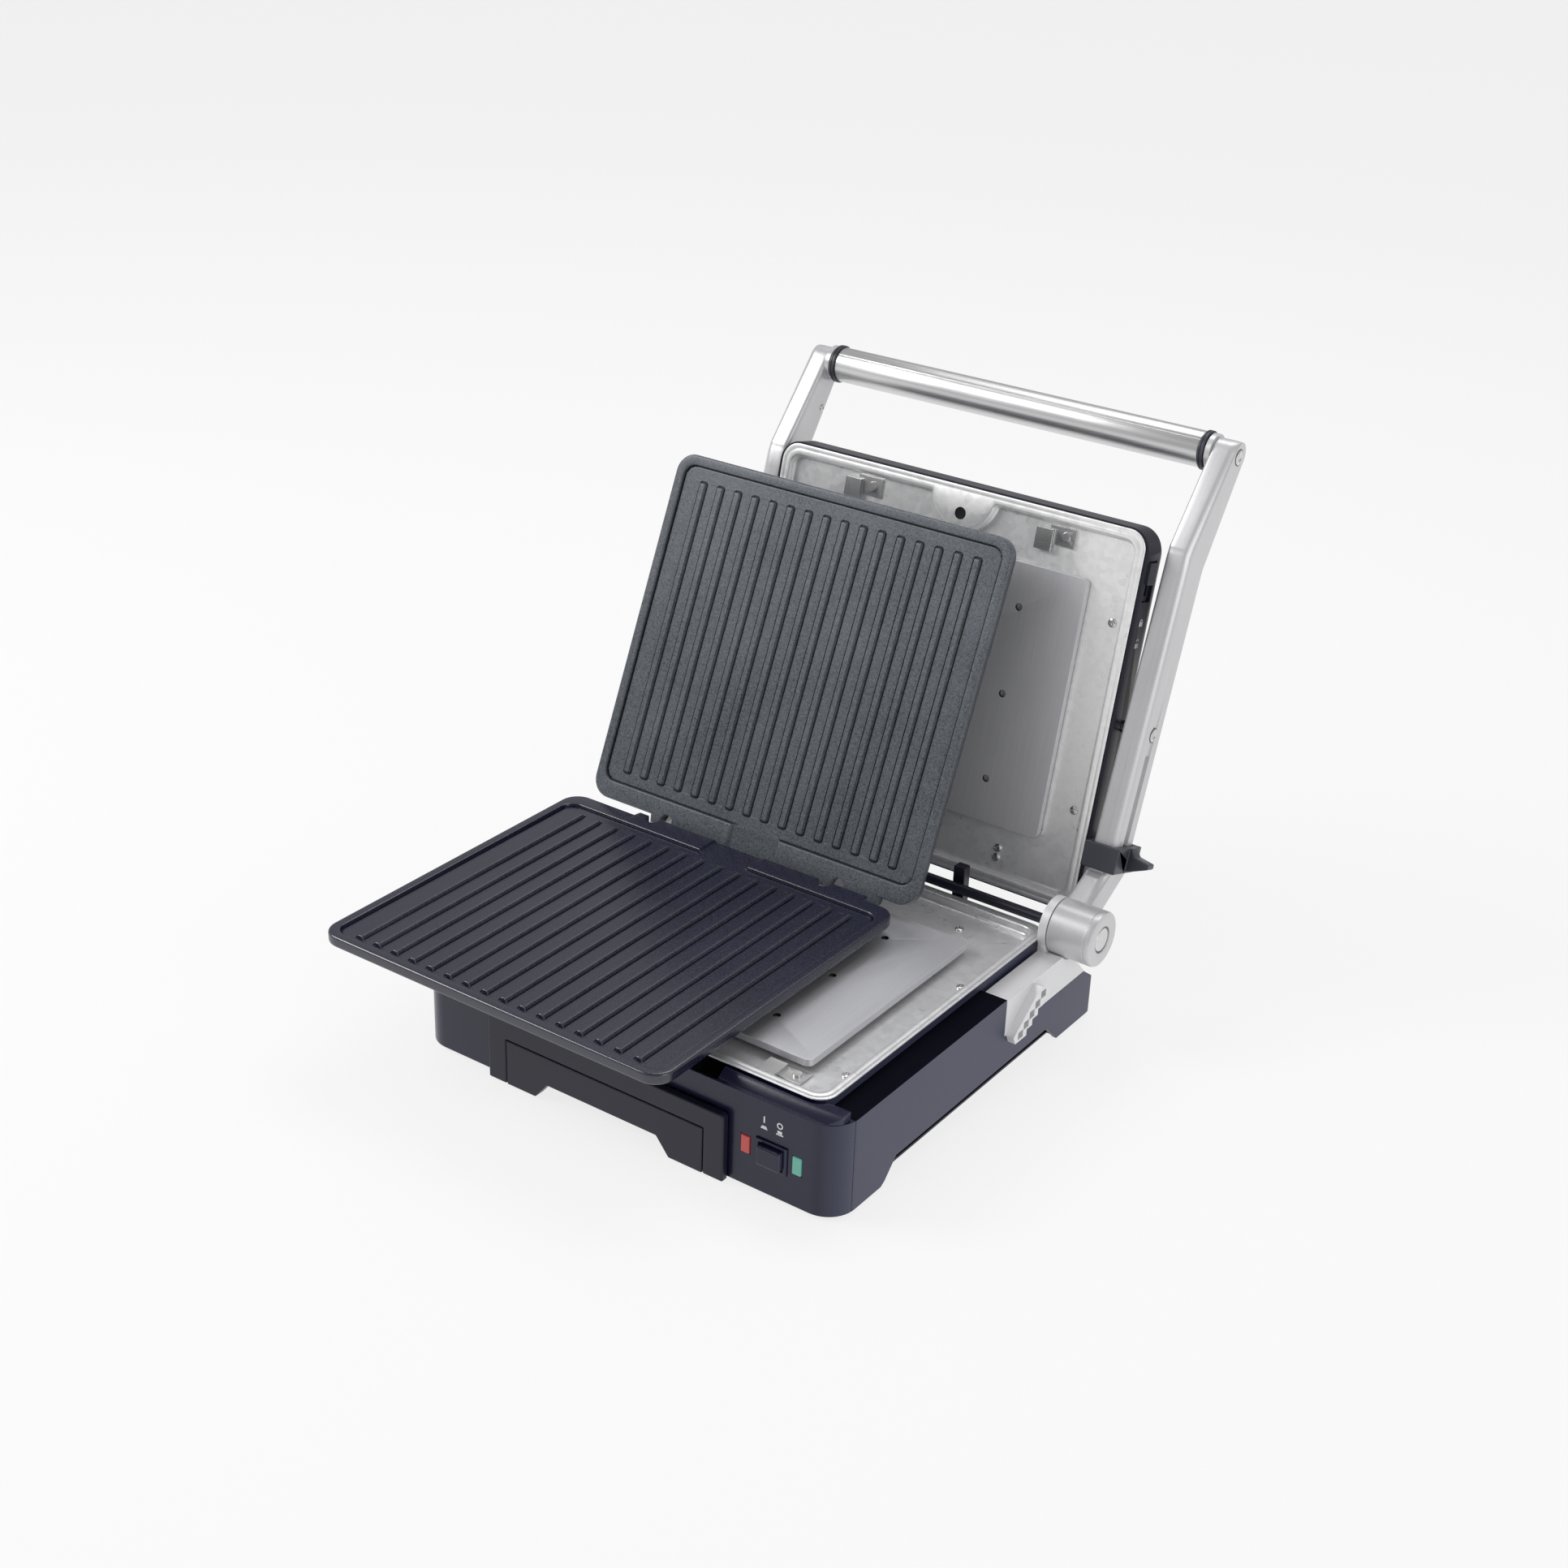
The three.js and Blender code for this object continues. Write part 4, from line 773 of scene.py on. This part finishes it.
# %% Shade kept on the plates
def groove_shade_of(points):
    """Painted shade: 1 in the grooves below the floor, less on the plate's outer side, 0 on the flats."""
    x, y, z = points.T
    inside = (np.abs(x) < PLATE_X - 1) & (np.abs(y) < PLATE_Y - 1)
    side = 0.75 * (z < FLOOR - 0.4) * (1 - inside)
    return np.where(inside, np.clip((FLOOR - z) / 0.3, 0, 1) * (z > FLOOR - 1), side)


def ridge_highlight_of(points):
    """A painted highlight: 1 along the upper edge of each ridge on its right side, found by the
    distance in X from the nearest ridge's middle, and 0 elsewhere."""
    x, y, z = points.T
    steps = x / RIDGE_PITCH - 0.5
    off_middle = (steps - np.round(steps)) * RIDGE_PITCH
    inside = (np.abs(x) < PLATE_X - BORDER - 2) & (y > 2 + BORDER - PLATE_Y)
    inside &= y < PLATE_Y - REAR_BORDER - 3
    return inside * (z > FLOOR + 0.3) * (off_middle > RIDGE_TOP / 2 - 0.25)


highlit = ridge_highlight_of(ribbed_floor(LOWER_FRONT_GAP)[0])
print("worn points:", int(highlit.sum()), "of", len(highlit))

# %% [markdown]
# The lower plate lies flat. The upper one faces down over it when the press is shut, so its
# place is worked out there first, and then it is turned open about the line that joins the two.
# Its ridges stop further short of the front border than the lower one's.

# %% Both plates
plate_low, plate_high = (from_datum(v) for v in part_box("lower_grill_plate"))
PLATE_MIDDLE = np.array([(plate_low[0] + plate_high[0]) / 2, plate_low[1] + PLATE_Y, plate_high[2]])
UPPER_TURN = radians(113.68)
FACE_GAP = 0.6


def on_lower(points):
    """From plate measures, with the border's top at 0, to the lower plate's place."""
    return points + PLATE_MIDDLE


def on_upper(points):
    """Face down, a face gap above the lower plate, then turned about X through the fold line."""
    x, y, z = points.T
    y = y + PLATE_MIDDLE[1] - fold_y
    z = PLATE_MIDDLE[2] + FACE_GAP - z - fold_z
    c, s = cos(-UPPER_TURN), sin(-UPPER_TURN)
    return np.column_stack([x + fold_x, y * c - z * s + fold_y, y * s + z * c + fold_z])


for name, front_gap, place, coat, shade_of in (
        ("lower", LOWER_FRONT_GAP, on_lower, shaded_lower_coat, ridge_highlight_of),
        ("upper", UPPER_FRONT_GAP, on_upper, lit_upper_coat, groove_shade_of)):
    plate = join(plate_body(), ribbed_floor(front_gap))
    build(f"{name}_ridged_plate", move(plate, place), coat, f"{name}_grill_plate",
          shade=shade_of(plate[0]))

# %% [markdown]
# ## Pans, heaters and small hardware
#
# A pan is pressed from thin zinc-coated sheet, so its rings run along the underside, round the
# rim and down to the floor with soft bends. The upper pan has a half-round shelf in the middle
# of its far side: there the inner rings are pulled in along a circle.

# %% Pans
LID_LEAN = radians(12.85)
PAN_DEPTH, PAN_CORNER = 266.0, 13.0
UPPER_PAN = {"half": 146.5, "near": -1.1, "rim": -34.5, "shelf": (5.0, 24.0)}
LOWER_PAN = {"half": 149.0, "near": -124.5, "rim": 76.0, "shelf": None}
PAN_SECTION = [(16, -7.2), (8, -7.2), (6.2, -6.4), (5.8, -5.0), (5.6, -1.8), (5.0, -1.2), (0.6, -1.2),
               (0.1, -0.9), (0, -0.6), (0.1, -0.25), (0.6, 0), (2.2, 0), (2.8, -0.25), (3.6, -0.25),
               (4.2, 0), (6.2, 0), (6.9, -0.2), (7.3, -0.8), (7.7, -2.4), (8.0, -4.4), (8.6, -5.4),
               (9.6, -5.9), (11, -6), (44, -6)]


def on_lid(points):
    """From lid measures, x across, y up the lid and z out of its cooking face, to the datum."""
    x, y, z = points.T
    c, s = cos(LID_LEAN), sin(LID_LEAN)
    return np.column_stack([x, hinge_y + y * s - z * c, hinge_z + y * c + z * s])


def pan_patch(half, near, rim, shelf):
    """A ring for each [inset, height] of the section. Past the rim's own rings the far side is
    pulled in to the shelf's circle, whose radius grows with the inset."""
    far = near + PAN_DEPTH
    rings = []
    for row, (inset, z) in enumerate(PAN_SECTION):
        ring = rounded_ring(-half + inset, half - inset, near + inset, far - inset,
                            max(PAN_CORNER - inset * 0.6, 4), side=(200, 24))
        if shelf and row > 14:
            middle, r = shelf
            x, y = ring.T
            reach = np.sqrt(np.maximum((r + inset - 6) ** 2 - (x - middle) ** 2, 0)) * (inset < 20)
            ring[:, 1] = np.where(reach > 0, np.minimum(y, np.maximum(far - 4 - reach, near + 50)), y)
        rings.append(at_height(ring, rim + z))
    return loft(np.stack(rings))


build("lower_pressed_pan", pan_patch(**LOWER_PAN), shaded_lower_zinc, "lower_pan", sharp=60)
build("upper_pressed_pan", move(pan_patch(**UPPER_PAN), on_lid), zinc, "upper_pan", sharp=60)

# %% [markdown]
# The heater plates, catches and other plain solids only need their edges taken off. The catch
# of a light on a rounded edge is most of what makes a moulded or stamped piece look real. The
# heaters' dimples and the deck round the pan's well take a second, darker material by face,
# as painted shade.

# %% Softened copies
SOFT_EDGES = [
    ("lower_heater_plate", spreader, 0.9), ("upper_heater_plate", upper_spreader, 0.9),
    ("lower_left_catch", catch_steel, 0.35), ("lower_right_catch", catch_steel, 0.35),
    ("upper_left_catch", catch_steel, 0.35), ("upper_right_catch", catch_steel, 0.35),
    ("front_panel", gloss, 0.8), ("bottom_cover", satin, 0.5),
    ("lid_casing", satin, 1.0), ("tray_bezel", satin, 1.3), ("drip_tray", satin, 0.9),
    ("right_hinge_bracket", bracket_silver, 0.6), ("left_hinge_bracket", bracket_silver, 0.6),
    ("hinge_cross_tube", satin, 0.4), ("cable_guide", satin, 0.9), ("cord_gland", rubber, 0.8),
    ("red_lamp", red, 0.9), ("green_lamp", green, 0.9), ("button_frame", gloss, 0.6),
    ("power_button", gloss, 1.5), ("height_lock_slider", slate, 1.0), ("lid_lock_slider", slate, 0.6),
    ("right_float_pin", bright, 0.5), ("left_float_pin", bright, 0.5),
    ("right_hinge_pin", bright, 0.7), ("left_hinge_pin", bright, 0.7), ("handle_core_rod", bright, 0.6),
    ("foot_front_left", rubber, 0.8), ("foot_front_right", rubber, 0.8),
    ("foot_rear_left", rubber, 0.8), ("foot_rear_right", rubber, 0.8),
]


def darken_dimples(piece, small=9.0, inside=9.0):
    """A second material, painted shade, for the faces under small square millimetres that lie more
    than inside millimetres in from the sheet's outline, measured along the sheet's own two directions."""
    faces = piece.data.polygons
    centre = np.array([f.center for f in faces]) / MM
    area = np.array([f.area for f in faces]) / MM ** 2
    normal = np.array(faces[int(area.argmax())].normal)
    across = centre @ np.array([(1, 0, 0), np.cross(normal, (1, 0, 0))]).T
    margin = np.minimum(across - across.min(0), across.max(0) - across).min(1)
    piece.data.materials.append(dimple)
    chosen = (area < small) & (margin > inside)
    piece.data.polygons.foreach_set("material_index", chosen.astype(np.int32))
    return int(chosen.sum())


for node, material, width in SOFT_EDGES:
    piece = eased(node, material, width)
    # Painted shade in the heaters' dimples.
    if node.endswith("heater_plate"):
        print(node, "dimple faces:", darken_dimples(piece))

# Painted shade: the deck's upward faces take the near-black copy of the base's plastic.
tub = eased("base_housing", lit_side_wall, 0.7)
tub.data.materials.append(deck)
deck_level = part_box("front_panel")[1][2] - 12 * MM
for face in tub.data.polygons:
    face.material_index = int(face.normal.z > 0.7 and face.center.z > deck_level)
print("softened pieces:", len(SOFT_EDGES) + 1)

# %% [markdown]
# Pieces that can hardly be seen keep their working shape and take a finish of their own.

# %% Hidden pieces
for node, material in [("lower_heating_element", bright), ("upper_heating_element", bright),
                       ("thermostat", slate), ("lid_thermal_fuse", zinc), ("terminal_block", ivory),
                       ("power_switch", slate)]:
    frame["nodes"][node].data.materials.clear()
    frame["nodes"][node].data.materials.append(material)
    print(node, "in", material.name)

# %% [markdown]
# ## Screws
#
# A pan-head screw is a low dome with a cross pressed into it. On a grid of radius by angle the
# dome is a square root, and the cross takes its depth away where either arm passes.

# %% Screw heads
HEAD_R, HEAD_HIGH = 3.1, 1.5


def screw_head(spin):
    """Rings of a dome, from the skirt to the middle, less the cross turned by spin."""
    rho = np.concatenate([[HEAD_R, HEAD_R], np.linspace(HEAD_R * 0.99, 0.05, 15)])[:, None]
    a = np.linspace(0, 2 * pi, 64, endpoint=False)[None, :] + spin
    dome = HEAD_HIGH * (0.35 + 0.65 * np.sqrt(np.maximum(1 - (rho / HEAD_R) ** 2, 0)))
    arm = np.minimum(np.abs(rho * np.cos(a - spin)), np.abs(rho * np.sin(a - spin)))
    cross = (1 - smoothstep((arm - 0.28) / 0.16)) * (1 - smoothstep((rho - 1.7) / 0.3))
    z = dome - 0.9 * cross
    z[0] = 0
    rho = np.broadcast_to(rho, z.shape)
    return loft(np.stack([rho * np.cos(a), rho * np.sin(a), z], -1))


def screw_middle(node):
    """The middle of a working screw's box."""
    low, high = (from_datum(v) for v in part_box(node))
    return (low + high) / 2


LOWER_SCREWS = [n for n in frame["nodes"] if n.startswith("lower_pan_screw")]
UPPER_SCREWS = [n for n in frame["nodes"] if n.startswith("upper_pan_screw")]
PAN_FLOOR = 6.0
for count, node in enumerate(sorted(LOWER_SCREWS)):
    middle = screw_middle(node)
    spot = (middle[0], middle[1], LOWER_PAN["rim"] - PAN_FLOOR)
    build(f"{node}_head", move(screw_head(0.4 + count), lambda p, s=spot: p + s), bright, node)
for count, node in enumerate(sorted(UPPER_SCREWS)):
    middle = screw_middle(node)
    up_lid = (middle[1] - hinge_y) * sin(LID_LEAN) + (middle[2] - hinge_z) * cos(LID_LEAN)
    spot = (middle[0], up_lid, UPPER_PAN["rim"] - PAN_FLOOR)
    build(f"{node}_head", move(screw_head(0.9 + count), lambda p, s=spot: on_lid(p + s)), bright, node)

# %% [markdown]
# ## Yoke and handle
#
# Each arm is a bar of one rounded section. It leaves the barrel, leans back, bends towards the
# handle and ends in a half round. Every station along it has a front point and a back point,
# and the section is stretched between them. The slot for the height lock is a window along
# the bar in which the outer face steps in.

# %% Arms
ARM_TILT, BEND_TILT = radians(18.75), radians(41.5)
ARM_BASE = np.array([182.5, 132.4])
ARM_DEPTH, ARM_END_R = 28.0, 10.5
ARM_X, BARREL_X, BARREL_R = (154.6, 172.0), (156.4, 189.0), 19.5
tube_low, tube_high = (from_datum(v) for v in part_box("handle_tube"))
HANDLE = (tube_low[1:] + tube_high[1:]) / 2
SLOT = {"from": -12.0, "to": 60.0, "back": 14.7, "wide": 4.0, "deep": 4.0}


def along(d, back=0.0):
    """A point on the arm's front line, d up it from its base, moved back square to the line."""
    run, square = (sin(ARM_TILT), cos(ARM_TILT)), (cos(ARM_TILT), -sin(ARM_TILT))
    return ARM_BASE + d * np.array(run) + back * np.array(square)


def arm_stations():
    """Rows of [distance, front y, front z, back y, back z] from the barrel to the rounded end."""
    rows = [(-60, hinge_y + 3, hinge_z + 14, hinge_y + 6, hinge_z + 2),
            (-50, hinge_y + 17, hinge_z + 21, hinge_y + 19, hinge_z - 3)]
    for d in (-23, SLOT["from"], SLOT["from"] + 0.3, 20, SLOT["to"] - 0.3, SLOT["to"], 100, 150, 184):
        rows.append((d, *along(d), *along(max(d, -23), ARM_DEPTH)))
    for t in np.linspace(0, 1, 5):
        front = along(196 + 6 * t) + (1 - (1 - t) ** 2) * np.array([0.6, -0.4])
        rows.append((196 + 6 * t, *front, *along(184 + 4 * t, ARM_DEPTH)))
    run = np.array([sin(BEND_TILT), cos(BEND_TILT)])
    square = np.array([cos(BEND_TILT), -sin(BEND_TILT)])
    for a in arc(9, -8, 88):
        middle = HANDLE + run * ARM_END_R * sin(a)
        half = ARM_END_R * cos(a)
        rows.append((260 + a, *(middle - square * half), *(middle + square * half)))
    return np.array(rows)


def arm_section():
    """The section as [x, share of depth, groove mask], round the bar: soft front edges, and
    points on both sides of the slot in the outer face."""
    x0, x1 = ARM_X
    ring = rounded_ring(x0, x1, 0, ARM_DEPTH, 2.2, side=(3, 20), corner=6)
    x, b = ring.T
    front = 1 - smoothstep(b / 4.5)
    x = np.where(x > (x0 + x1) / 2, x - 2.6 * front, x + 0.8 * front)
    reach = SLOT["wide"] / 2 + 0.6
    groove = window(b, SLOT["back"] - reach, SLOT["back"] + reach, 0.5) * (x > x1 - 1)
    return x, b / ARM_DEPTH, groove


def arm_bar(slotted):
    """The section carried from station to station, its outer face pushed in along the slot."""
    d, fy, fz, by, bz = arm_stations().T[:, :, None]
    x, share, groove = arm_section()
    span = window(d, SLOT["from"] - 0.1, SLOT["to"] + 0.1, 0.3)
    depth = SLOT["deep"] * groove * span if slotted else 0
    y = fy + (by - fy) * share
    z = fz + (bz - fz) * share
    return loft(np.stack([x - depth + 0 * y, y, z], -1))


def arm_barrel():
    """The turned hub: a rounded drum with a ring groove and a recess for the pin's cap."""
    x0, x1 = BARREL_X
    r = BARREL_R
    return lathe_x([(x0, 4), (x0, r - 0.8), (x0 + 0.8, r), (x1 - 5.5, r), (x1 - 5.2, r - 0.3),
                    (x1 - 4.8, r - 0.3), (x1 - 4.5, r), (x1 - 2.2, r), (x1 - 0.7, r - 0.6),
                    (x1, r - 2.2), (x1, 10.4), (x1 - 0.4, 9.6), (x1 - 2.9, 9.2), (x1 - 2.9, 4)],
                   (hinge_y, hinge_z), 72)


def handle_boss():
    """The short round seat on the arm's inner face, against which the collar stands."""
    x0 = ARM_X[0]
    return lathe_x([(x0 - 3.4, 4), (x0 - 3.4, 11.6), (x0 - 2.6, 12.5), (x0 + 1, 12.5), (x0 + 1, 4)],
                   HANDLE, 56)


for side, slotted in (("right", True), ("left", False)):
    arm = join(arm_bar(slotted), arm_barrel(), handle_boss())
    build(f"{side}_yoke_arm", arm if slotted else mirror(arm), silver, f"{side}_arm", sharp=44)

# %% [markdown]
# Small hardware on the arms: a cap in a dark seat where the lid's pivot and the handle's rod end,
# and a screw on the left arm's inner face. The rack's pockets get painted shade on their floor,
# stepped down the bracket with the rack's own pitch.

# %% Caps and pockets
CAPS = [((float_y, float_z), 4.6), (tuple(HANDLE), 5.2)]
RACK_STEPS, RACK_STEP, RACK_TOP, POCKET_R = 5, np.array([6.8, 4.6]), np.array([93.1, 58.0]), 3.0
SCREW_SPOT, SCREW_SHARE = (291, 341), (0.8, 0.6)


def cap_rim(place, r):
    """The dark seat round a cap in the arm's outer face."""
    x = ARM_X[1]
    return lathe_x([(x - 1, 1), (x - 1, r + 0.7), (x + 0.06, r + 0.7), (x + 0.06, 1)], place, 40)


def cap_face(place, r):
    """A low cap with a rounded edge and a dimple in its middle."""
    x = ARM_X[1]
    return lathe_x([(x - 0.5, 1), (x - 0.5, r), (x + 0.35, r), (x + 0.7, r - 0.5), (x + 0.8, r * 0.55),
                    (x + 0.3, r * 0.42), (x + 0.2, 0.2)], place, 40)


def rack_pocket(step):
    """Painted shade on one pocket's floor: an eight-sided plug set behind the rack's outer face."""
    x = from_datum(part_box("right_hinge_bracket")[1])[0]
    return lathe_x([(x - 3.6, 0.2), (x - 3.6, POCKET_R), (x - 2.8, POCKET_R), (x - 2.4, 0.2)],
                   tuple(RACK_TOP - step * RACK_STEP), 8)


def on_left_arm(points):
    """A screw head's points, its axis along X, on the left arm's inner face."""
    wide, high = SCREW_SHARE
    return np.column_stack([points[:, 2] * high - ARM_X[0], SCREW_SPOT[0] + points[:, 0] * wide,
                            SCREW_SPOT[1] + points[:, 1] * wide])


for side, turn in (("right", lambda patch: patch), ("left", mirror)):
    seats = turn(join(*(cap_rim(*cap) for cap in CAPS)))
    caps = turn(join(*(cap_face(*cap) for cap in CAPS)))
    build(f"{side}_cap_seats", seats, slate, f"{side}_arm", stands_for=False)
    build(f"{side}_arm_caps", caps, bright, f"{side}_arm", stands_for=False)
build("rack_pockets", join(*(rack_pocket(k) for k in range(RACK_STEPS))), pocket_floor_shade,
      "right_hinge_bracket", stands_for=False)
build("left_arm_inner_screw", move(screw_head(0.5), on_left_arm), bright, "left_arm", stands_for=False)

# %% [markdown]
# The handle is a rolled steel tube. Its radius is a function of the angle, with one shallow
# seam along its upper front, and its ends turn in. The collars are turned rings.

# %% Handle tube and collars
SEAM_ANGLE, SEAM_WIDE, SEAM_DEEP = radians(130), 0.028, 0.45


def handle_patch():
    """Rings along X: the radius less the seam, a bell curve of the angle from SEAM_ANGLE."""
    reach, r = tube_high[0], (tube_high[2] - tube_low[2]) / 2
    ends = [(0, r - 2.2), (0, r - 0.8), (0.25, r - 0.25), (0.8, r)]
    x = np.array([-reach + e for e, _ in ends] + [-60, 0, 60] + [reach - e for e, _ in ends[::-1]])
    radius = np.array([v for _, v in ends] + [r] * 3 + [v for _, v in ends[::-1]])
    a = np.unique(np.concatenate([np.linspace(0, 2 * pi, 96, endpoint=False),
                                  SEAM_ANGLE + np.linspace(-0.1, 0.1, 17)]))
    seam = SEAM_DEEP * np.exp(-((a - SEAM_ANGLE) / SEAM_WIDE) ** 2)
    rr = radius[:, None] - seam[None, :]
    x = np.broadcast_to(x[:, None], rr.shape)
    return loft(np.stack([x, HANDLE[0] + rr * np.cos(a), HANDLE[1] + rr * np.sin(a)], -1))


def collar_patch():
    """A turned ring with rounded shoulders and one groove, as wide as the working collar."""
    low, high = (from_datum(v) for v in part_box("right_handle_collar"))
    r = (high[2] - low[2]) / 2
    a, b = low[0], high[0]
    return lathe_x([(a, 4.4), (a, r - 0.8), (a + 0.7, r), (a + 1.5, r), (a + 1.8, r - 0.5),
                    (a + 2.2, r - 0.5), (a + 2.5, r), (b - 0.6, r), (b, r - 0.7), (b, 4.4)], HANDLE, 72)


build("handle_steel_tube", handle_patch(), brushed, "handle_tube")
build("right_grip_collar", collar_patch(), slate, "right_handle_collar")
build("left_grip_collar", mirror(collar_patch()), slate, "left_handle_collar")

# %% [markdown]
# ## Printed marks
#
# Two plain marks over the button say on and off, with a small sign of the button's two heights
# below them. The lid's side has a shut and an open lock. All are thin raised prints.

# %% Marks
PRINT = 0.12


def plaque(points, x_of, thick=PRINT):
    """A flat outline, raised by thick: x_of turns outline points and a height into space."""
    outline = np.array(points, float)
    return loft(np.stack([x_of(outline, 0.0), x_of(outline, thick)]))


def ring_plaque(middle, r_in, r_out, x_of, start=0, end=360, n=33):
    """A band of a circle between two radii and two angles."""
    a = arc(n, start, end)
    band = np.concatenate([np.stack([np.cos(a), np.sin(a)], 1) * r_out,
                           np.stack([np.cos(a[::-1]), np.sin(a[::-1])], 1) * r_in])
    return plaque(band + middle, x_of)


def rectangle(x0, x1, z0, z1):
    """Four corners, anticlockwise."""
    return [(x0, z0), (x1, z0), (x1, z1), (x0, z1)]


def on_front(outline, height):
    """Outline points run right and up, on the base's front wall."""
    return np.column_stack([outline[:, 0], np.full(len(outline), FRONT_Y - height), outline[:, 1]])


def power_marks():
    """A bar for on and a ring for off, over the button's low and high signs."""
    on_x, off_x, z = 113.4, 125.0, 56.2
    return join(
        plaque(rectangle(on_x - 0.5, on_x + 0.5, z - 2.3, z + 2.3), on_front),
        ring_plaque((off_x, z), 1.4, 2.2, on_front, 1, 359),
        plaque([(on_x - 2.6, z - 6.8), (on_x + 2.6, z - 6.8), (on_x + 1.5, z - 4.6),
                (on_x - 1.5, z - 4.6)], on_front),
        plaque(rectangle(off_x - 2.6, off_x + 2.6, z - 6.8, z - 5.9), on_front),
        plaque(rectangle(off_x - 1.7, off_x + 1.7, z - 5.6, z - 3.6), on_front))


LID_SIDE_X = UPPER_PAN["half"] + 2.6
MARK_Z = UPPER_PAN["rim"] - 11


def on_lid_side(outline, height):
    """Outline points run back from the rim and up the lid, on its right side."""
    flat = np.column_stack([np.full(len(outline), LID_SIDE_X + height), outline[:, 1], outline[:, 0]])
    return on_lid(flat)


def lock_mark(up, lift):
    """A padlock: a block and a half-ring shackle, raised by lift when it is open."""
    return join(plaque(rectangle(MARK_Z - 2.4, MARK_Z + 2.4, up - 2.6, up + 0.6), on_lid_side),
                ring_plaque((MARK_Z, up + 0.7 + lift), 1.1, 1.8, on_lid_side, 0, 180, 15))


def print_piece(name, patch, like):
    """A print in white ink that rides with the working solid named like."""
    piece = build(name, patch, ink, like, stands_for=False)


print_piece("power_marks", power_marks(), "front_panel")
print_piece("lock_marks", join(lock_mark(204, 0), lock_mark(189, 1.4)), "lid_casing")

# %% [markdown]
# Last, the eye in the upper pan's shelf: a dish with a rolled lip, dark as painted shade in the hole.

# %% Eye
def eye_patch(x, up, r=3.4):
    """A shallow dish with a rolled lip, in lid measures."""
    a = np.linspace(0, 2 * pi, 40, endpoint=False)
    rows = [(r + 0.9, 0.02), (r + 0.8, 0.25), (r + 0.4, 0.4), (r, 0.3), (r - 0.2, 0.05), (r - 0.25, 0.03)]
    rings = [np.column_stack([x + q * np.cos(a), up + q * np.sin(a), np.full(40, UPPER_PAN["rim"] + h)])
             for q, h in rows]
    return loft(np.stack(rings))


EYE_UP = 246.0
build("upper_pan_eye", move(eye_patch(UPPER_PAN["shelf"][0], EYE_UP), on_lid), hole_shade, "upper_pan",
      stands_for=False)
